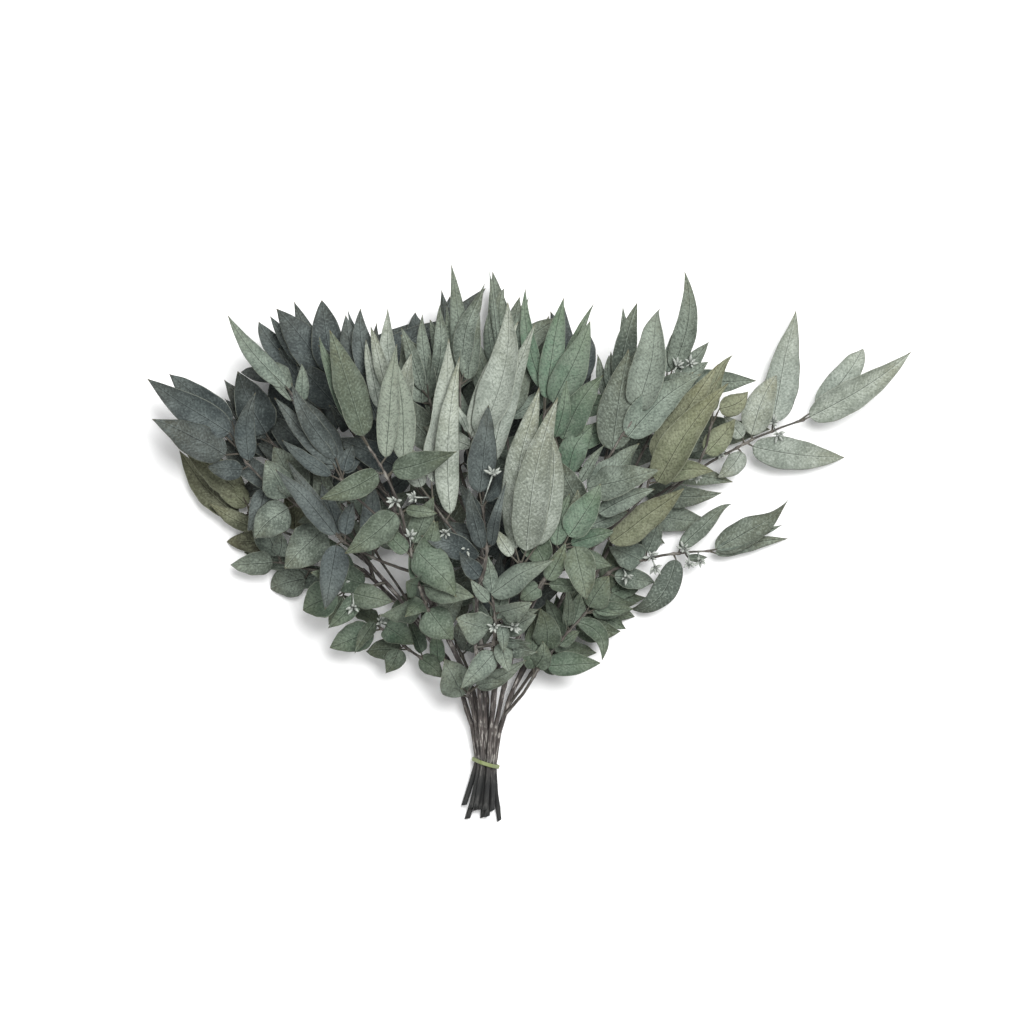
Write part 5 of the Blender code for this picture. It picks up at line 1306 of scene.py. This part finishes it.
@dataclass(frozen=True)
class RodShape:
    """How a stem or a twig is made: fine ridges along it, and a swelling at each leaf joint."""

    around: int = 12
    step: float = 1.5
    fewest: int = 8
    ridge: float = 0.045
    ridge_counts: tuple[int, int] = (3, 5)
    second_ridge: float = 0.6
    drift: float = 18.0  # millimetres along it in which the ridges turn by a radian
    swelling: float = 0.22
    joint_length: float = 2.0
    wander: float = 0.22
    straight: float = 20.0
    slope: float = 0.45

    def grown(self, path: np.ndarray, radii: np.ndarray, joints: np.ndarray, chance: np.random.Generator,
              dyed: float = 0.0) -> tuple[np.ndarray, dict[str, np.ndarray]]:
        """The rod's surface.

        The radius swells at each joint by a bell curve, and ripples round the rod as three
        and five ridges that drift along it. Between joints the rod bends a little to and fro.

        Args:
            path: The points that it follows, in millimetres.
            radii: Its radius at each of them.
            joints: Where its joints are, in millimetres along it.
            chance: Its source of chance.
            dyed: How many millimetres of it stood in the dye, for a stem, whose first end is cut.

        Returns:
            Its points in millimetres, (ring, point in ring, xyz), and its marks.
        """
        length, cut = path_length(path), dyed > 0
        share = np.linspace(0, 1, max(self.fewest, int(length / self.step)))
        run = share * length
        radius = np.interp(share, np.linspace(0, 1, len(radii)), radii)
        line = along(path, share)
        across, up = frames(np.gradient(line, axis=0))
        sway = self.wander * radius * np.interp(run, joints, (-1.0)**np.arange(len(joints)))
        line = line + across * (sway * np.minimum(1, run / self.straight))[:, None]
        bell = np.exp(-((run[:, None] - joints) / self.joint_length)**2).max(axis=1)[:, None]
        turn = 2 * np.pi * np.arange(self.around) / self.around
        drift = np.sin(run / self.drift + chance.uniform(0, 6))[:, None]
        few, many = self.ridge_counts
        ridges = np.sin(few * turn + drift) + self.second_ridge * np.sin(many * turn - drift)
        girth = radius[:, None] * (1 + self.ridge * ridges) * (1 + self.swelling * bell)
        ring = np.cos(turn)[:, None] * across[:, None] + np.sin(turn)[:, None] * up[:, None]
        ring = ring * girth[..., None]

        ahead = unit(line[1] - line[0]), unit(line[-1] - line[-2])
        slope = ahead[0] * (self.slope * np.cos(turn) * radius[0] * cut)[:, None]
        first = [line[0] + (ring[0] + slope) * size - ahead[0] * out * radius[0]
                 for size, out in (CUT_RINGS if cut else FOOT_RINGS)]
        last = [line[-1] + ring[-1] * size + ahead[1] * out * radius[-1] for size, out in END_RINGS]
        body = line[:, None] + ring
        body[0] += slope
        grid = np.stack([*first, *body, *last])

        flat = np.zeros((len(grid), self.around))
        joint = np.pad(bell, ((len(first), len(last)), (0, 0))) + flat
        faced = flat.copy()
        faced[:len(first)] = float(cut)
        down = np.pad(run, (len(first), len(last)), "edge")[:, None] + flat
        round_it = (np.cos(turn) * radii.mean() + flat, np.sin(turn) * radii.mean() + flat)
        soaked = np.clip((dyed - down) / DYE_EDGE + 0.5, 0, 1) * cut
        return grid, {"wood": np.stack([joint, faced, soaked], axis=-1),
                      "grain": np.stack([*round_it, down * GRAIN_STRETCH], axis=-1) * MM}


# Where each spray's clusters of buds have their middles, in plan and in millimetres.
UMBELS = {
    "upper_left": ((-103, 35),), "centre_left": ((-88, 38), (-65, 12), (-50, 0)), "mid_left": ((-92, 8),),
    "left_low_inner": ((-145, -27), (-137, -45)), "low_left": ((-117, -58),),
    "centre_stalk": ((-30, 55),), "low_centre": ((-29, -60), (-15, -60)),
    "crown_far_right": ((110, 138), (120, 140)), "right_arm_upper": ((145, 72), (187, 96), (190, 88)),
    "right_shade": ((125, 55),),
    "right_arm_lower": ((92, -8), (95, -15), (118, -2), (122, -12), (130, -10), (73, -22)),
}


@dataclass(frozen=True)
class BudShape:
    """How the buds are made: a stalk from the twig, and a star of small pointed buds on it."""

    around: int = 6
    length: float = 7.0
    radius: float = 1.15
    stalk: float = 0.5
    spread: float = 1.3
    lift: float = 3.0  # the cluster stands this far over its twig
    rise: float = 0.2  # and this share of its way out
    leans: tuple[float, float] = (0.35, 1.1)
    sizes: tuple[float, float] = (0.75, 1.15)
    fewest: int = 6
    most: int = 9
    profile: tuple[tuple[float, float], ...] = (
        (0.0, 0.35), (0.30, 0.38), (0.42, 0.85), (0.60, 1.0), (0.68, 0.92), (0.84, 0.55), (1.0, 0.12))

    def rod(self, start: np.ndarray, end: np.ndarray, profile: np.ndarray) -> tuple[np.ndarray, dict]:
        """A turned shape from start to end.

        Args:
            start: Its first end.
            end: Its other end.
            profile: Shares of the way, each with the radius there in millimetres.

        Returns:
            Its points in millimetres, (ring, point in ring, xyz), and its marks.
        """
        across, up = frames(end - start + np.array((0.01, 0.0, 0.0)))
        turn = 2 * np.pi * np.arange(self.around) / self.around
        ring = np.cos(turn)[:, None] * across + np.sin(turn)[:, None] * up
        share, radius = profile.T
        grid = (start + (end - start) * share[:, None])[:, None] + ring * radius[:, None, None]
        flat = np.zeros(grid.shape[:2])
        return grid, {"bud": np.stack([share[:, None] + flat, flat, flat], axis=-1)}

    def grown(self, foot: np.ndarray, middle: np.ndarray, chance: np.random.Generator) -> Iterator[tuple]:
        """A cluster: its stalk, and then its buds, which point every way but back.

        Args:
            foot: Where it leaves the twig.
            middle: Where its buds meet.
            chance: Its source of chance.

        Yields:
            Each tube's points and marks.
        """
        stalk = np.array(((0.0, self.stalk * 1.2), (0.5, self.stalk), (1.0, self.stalk * 1.4)))
        yield self.rod(foot, middle, stalk)
        ahead = unit(middle - foot)
        across, up = frames(ahead + np.array((0.01, 0.0, 0.0)))
        count = chance.integers(self.fewest, self.most + 1)
        for turn in np.arange(count) * GOLDEN_ANGLE + chance.uniform(0, 6):
            lean = self.spread * chance.uniform(*self.leans)
            heading = ahead * np.cos(lean) + (across * np.cos(turn) + up * np.sin(turn)) * np.sin(lean)
            size = chance.uniform(*self.sizes)
            profile = np.array(self.profile) * (1, self.radius * size)
            yield self.rod(middle - heading * 0.5, middle + heading * self.length * size, profile)


@dataclass
class Sprays:
    """The leafy sprays: for each its leaves, its twig and its clusters of buds."""

    twigs: list[Twig]
    shift: np.ndarray
    leaf: LeafShape = LeafShape()
    rod: RodShape = RodShape(around=10, swelling=0.5, joint_length=1.6)
    bud: BudShape = BudShape()

    def build(self) -> None:
        """Make every spray."""
        leaves = {tone: finish.paint(f"dried_eucalyptus_leaf_{tone.name.lower()}")
                  for tone, finish in LEAF_FINISHES.items()}
        bark = Bark("#33302d", "#4b4640", "#85847c", 0.6).paint("young_twig_bark")
        buds = MealyBud().paint("mealy_eucalyptus_bud")
        for index, twig in enumerate(self.twigs):
            name, tone = twig.spray.name, twig.spray.tone
            node = f"spray_{name}"
            set_piece(self.leaves(index, twig), leaves[tone], node)
            set_piece(self.twig(index, twig), bark, node)
            if name in UMBELS:
                set_piece(self.buds(index, twig), buds, node)

    def leaves(self, index: int, twig: Twig) -> bpy.types.Mesh:
        """All the leaves of one spray.

        Args:
            index: The spray's place in the list, which seeds its chance.
            twig: The spray.

        Returns:
            The mesh.
        """
        skin = Skin()
        tint = TINTS.get(twig.spray.name, seeded(index, Draw.TINT).uniform(0.1, 0.9))
        lights = LIGHTS.get(twig.spray.name, {})
        for order, blade in enumerate(twig.blades):
            light = lights.get(order, 0.0 if order < len(twig.spray.leaves) else FILL_SHADE)
            chance = seeded(index, Draw.LEAF_SURFACE + order)
            skin.add(*self.leaf.grown(blade, chance, self.shift, tint, light))
        return skin.mesh(f"{twig.spray.name}_leaves")

    def twig(self, index: int, twig: Twig) -> bpy.types.Mesh:
        """One spray's twig, from the middle of its stem to its end, with a joint at each leaf's foot.

        Args:
            index: The spray's place in the list, which seeds its chance.
            twig: The spray.

        Returns:
            The mesh.
        """
        stem_line, tie_share = stem_path(STEMS[twig.spray.stem - 1])
        root = along(stem_line, tie_share + twig.spray.start * (1 - tie_share))
        path = np.vstack([root, twig.path])
        radii = np.concatenate([twig.radii[:1] * 1.15, twig.radii])
        shares = np.linspace(0, 1, 200)
        line = along(path, shares)
        feet = np.array([blade.foot for blade in twig.blades])
        nearest = np.argmin(np.linalg.norm(line[:, None] - feet, axis=2), axis=0)
        joints = np.sort(shares[nearest]) * path_length(path)
        skin = Skin()
        skin.add(*self.rod.grown(path + self.shift, radii, joints, seeded(index, Draw.TWIG)))
        return skin.mesh(f"{twig.spray.name}_twig")

    def buds(self, index: int, twig: Twig) -> bpy.types.Mesh:
        """All the bud clusters of one spray.

        Args:
            index: The spray's place in the list, which seeds its chance.
            twig: The spray.

        Returns:
            The mesh.
        """
        skin, chance = Skin(), seeded(index, Draw.BUDS)
        line = along(twig.path, np.linspace(0, 1, 100)) + self.shift
        for spot in UMBELS[twig.spray.name]:
            foot = line[np.argmin(np.linalg.norm(line[:, :2] - spot, axis=1))]
            flat = np.linalg.norm(foot[:2] - spot)
            middle = np.array((*spot, foot[2] + self.bud.lift + self.bud.rise * flat))
            for points, marks in self.bud.grown(foot, middle, chance):
                skin.add(points, marks)
        return skin.mesh(f"{twig.spray.name}_buds")


@dataclass
class Stems:
    """The cut stems, with a leaf scar every few centimetres."""

    shift: np.ndarray
    scar_step: float = 40.0
    rod: RodShape = RodShape(swelling=0.15, joint_length=3.0)

    def build(self) -> None:
        """Make every stem."""
        bark = Bark("#332f2d", "#4a4441", "#a39f99", 0.9).paint("eucalyptus_stem_bark")
        for number, stem in enumerate(STEMS, 1):
            chance = seeded(number, Draw.STEM)
            path, tie_share = stem_path(stem)
            dyed = tie_share * path_length(path)
            scars = np.arange(chance.uniform(5, self.scar_step), path_length(path), self.scar_step)
            scars = scars + chance.normal(0, 2.5, len(scars))
            skin = Skin()
            skin.add(*self.rod.grown(path + self.shift, stem_radii(stem, path), scars, chance, dyed))
            set_piece(skin.mesh(f"stem_{number:02d}_bark"), bark, f"stem_{number:02d}")


@dataclass
class Band:
    """The rubber band, pulled tight round the stems, in millimetres."""

    shift: np.ndarray
    width: float = 3.0
    thickness: float = 1.2
    clearance: float = 0.7
    around: int = 16
    spots: int = 180

    def line(self) -> np.ndarray:
        """The band's middle line: where the tight outline round the stems lies on each side.

        Along each heading the outline stands as far out as the farthest stem does. Its point
        there is that distance out plus its slope sideways, which is how a tight band lies.

        Returns:
            The points, anticlockwise, in the bunch's own frame.
        """
        turn = 2 * np.pi * np.arange(self.spots) / self.spots
        heading = np.stack([np.cos(turn), np.sin(turn)], axis=1)
        middles = np.array([stem.tie for stem in STEMS])
        skins = np.array([stem.radius for stem in STEMS]) + self.clearance + self.thickness / 2
        outer = np.argmax(heading @ middles.T + skins, axis=1)
        outline = middles[outer] + heading * skins[outer][:, None]
        run = np.vstack([outline, outline[:1]])
        even = along(run, np.arange(self.spots) / self.spots)
        x, z = even.T
        return np.stack([x, TIE_Y + TIE_TILT * (x - TIE_X), z], axis=1) + self.shift

    def build(self) -> None:
        """Make the band: a flat rounded section carried round its line."""
        line = self.line()
        heading = unit(np.roll(line, -1, axis=0) - np.roll(line, 1, axis=0))
        across = unit(np.array((-TIE_TILT, 1.0, 0.0)) - heading * (heading @ (-TIE_TILT, 1.0, 0.0))[:, None])
        out = np.cross(across, heading)
        turn = 2 * np.pi * np.arange(self.around) / self.around
        wide = self.width / 2 * np.sign(np.cos(turn)) * np.abs(np.cos(turn))**0.6
        thick = self.thickness / 2 * np.sign(np.sin(turn)) * np.abs(np.sin(turn))**0.8
        grid = line[:, None] + across[:, None] * wide[:, None] + out[:, None] * thick[:, None]
        run = np.concatenate([[0], np.cumsum(np.linalg.norm(np.diff(line, axis=0), axis=1))])[:, None]
        flat = np.zeros(grid.shape[:2])
        place = np.stack([run + flat, wide + flat, flat], axis=-1)
        mesh = ring_mesh("rubber_band_latex", grid, {"band_mm": place})
        set_piece(mesh, Latex().paint("natural_latex"), "rubber_band")


def ring_mesh(name: str, grid: np.ndarray, marks: dict[str, np.ndarray]) -> bpy.types.Mesh:
    """A closed ring: a grid of sections whose last joins its first.

    Args:
        name: The mesh's name.
        grid: Its points in millimetres, (section, point in section, xyz).
        marks: Its marks, (section, point in section, xyz).

    Returns:
        The mesh, in metres.
    """
    here = np.arange(grid[..., 0].size).reshape(grid.shape[:2])
    after, beside = np.roll(here, -1, axis=0), np.roll(here, -1, axis=1)
    quads = np.stack([here, after, np.roll(after, -1, axis=1), beside], axis=-1).reshape(-1, 4)
    mesh = bpy.data.meshes.new(name)
    mesh.from_pydata((grid.reshape(-1, 3) * MM).tolist(), [], quads.tolist())
    mesh.polygons.foreach_set("use_smooth", np.ones(len(quads), bool))
    for mark, values in marks.items():
        layer = mesh.attributes.new(mark, "FLOAT_VECTOR", "POINT")
        layer.data.foreach_set("vector", values.astype(np.float32).ravel())
    return mesh


# ---- the studio ----
@dataclass(frozen=True)
class Lamp:
    """A square soft box: where it hangs and its side, in metres, and its power in watts."""

    place: tuple[float, float, float]
    size: float
    power: float

    def build(self, name: str, target: tuple[float, float, float]) -> None:
        """Hang the lamp.

        Args:
            name: Its name.
            target: The point that it faces.
        """
        light = bpy.data.lights.new(name, "AREA")
        light.size, light.energy = self.size, self.power
        lamp = bpy.data.objects.new(name, light)
        lamp.location = self.place
        lamp.rotation_euler = (Vector(target) - lamp.location).to_track_quat("-Z", "Y").to_euler()
        bpy.context.scene.collection.objects.link(lamp)


@dataclass(frozen=True)
class Studio:
    """A pale floor under soft light, and a camera that looks straight down, in metres."""

    middle: tuple[float, float, float] = (-0.0156, 0.027, 0.08)
    height: float = 2.5
    view_width: float = 0.778
    sensor: float = 36.0
    floor_side: float = 12.0
    sky_strength: float = 0.48
    key: Lamp = Lamp((0.62, 0.8, 2.55), 1.3, 100.0)
    fill: Lamp = Lamp((-1.5, -1.1, 2.3), 2.2, 18.0)

    def build(self) -> None:
        """Make the floor, the lights and the camera."""
        self.floor()
        self.sky()
        self.key.build("key", self.middle)
        self.fill.build("fill", self.middle)
        self.camera()

    def floor(self) -> None:
        """A plain matt floor."""
        half = self.floor_side / 2
        mesh = bpy.data.meshes.new("floor")
        corners = [(-half, -half, 0), (half, -half, 0), (half, half, 0), (-half, half, 0)]
        mesh.from_pydata(corners, [], [(0, 1, 2, 3)])
        paint = Paint("white_paper")
        grain = paint.add(Step.NOISE, paint.spot, scale(PAPER_GRAIN), 3.0)
        colour = paint.add(Step.LAY, "#fbfbfb", "#f6f6f6", grain)
        paint.fill(paint.shader, {"Base Color": colour, "Roughness": 0.9})
        mesh.materials.append(paint.material)
        plane = bpy.data.objects.new("floor", mesh)
        bpy.context.scene.collection.objects.link(plane)

    def sky(self) -> None:
        """An even white surround."""
        world = bpy.data.worlds.new("white_surround")
        world.use_nodes = True
        background = world.node_tree.nodes["Background"]
        background.inputs["Color"].default_value = (1.0, 1.0, 1.0, 1.0)
        background.inputs["Strength"].default_value = self.sky_strength
        bpy.context.scene.world = world
        bpy.context.scene.view_settings.view_transform = "Standard"

    def camera(self) -> None:
        """The camera, over the middle and level."""
        lens = bpy.data.cameras.new("camera")
        lens.sensor_width = self.sensor
        lens.lens = self.sensor * self.height / self.view_width
        eye = bpy.data.objects.new("camera", lens)
        x, y, z = self.middle
        eye.location = (x, y, z + self.height)
        bpy.context.scene.collection.objects.link(eye)
        bpy.context.scene.camera = eye


def main() -> None:
    """Build the bunch and the studio."""
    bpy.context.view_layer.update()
    twigs, growth = grow_bunch()
    shift = growth.shift_to_origin()
    Sprays(twigs, shift).build()
    Stems(shift).build()
    Band(shift).build()
    Studio().build()


if __name__ == "__main__":
    logging.basicConfig(level=logging.INFO, format="%(name)s: %(message)s")
    main()
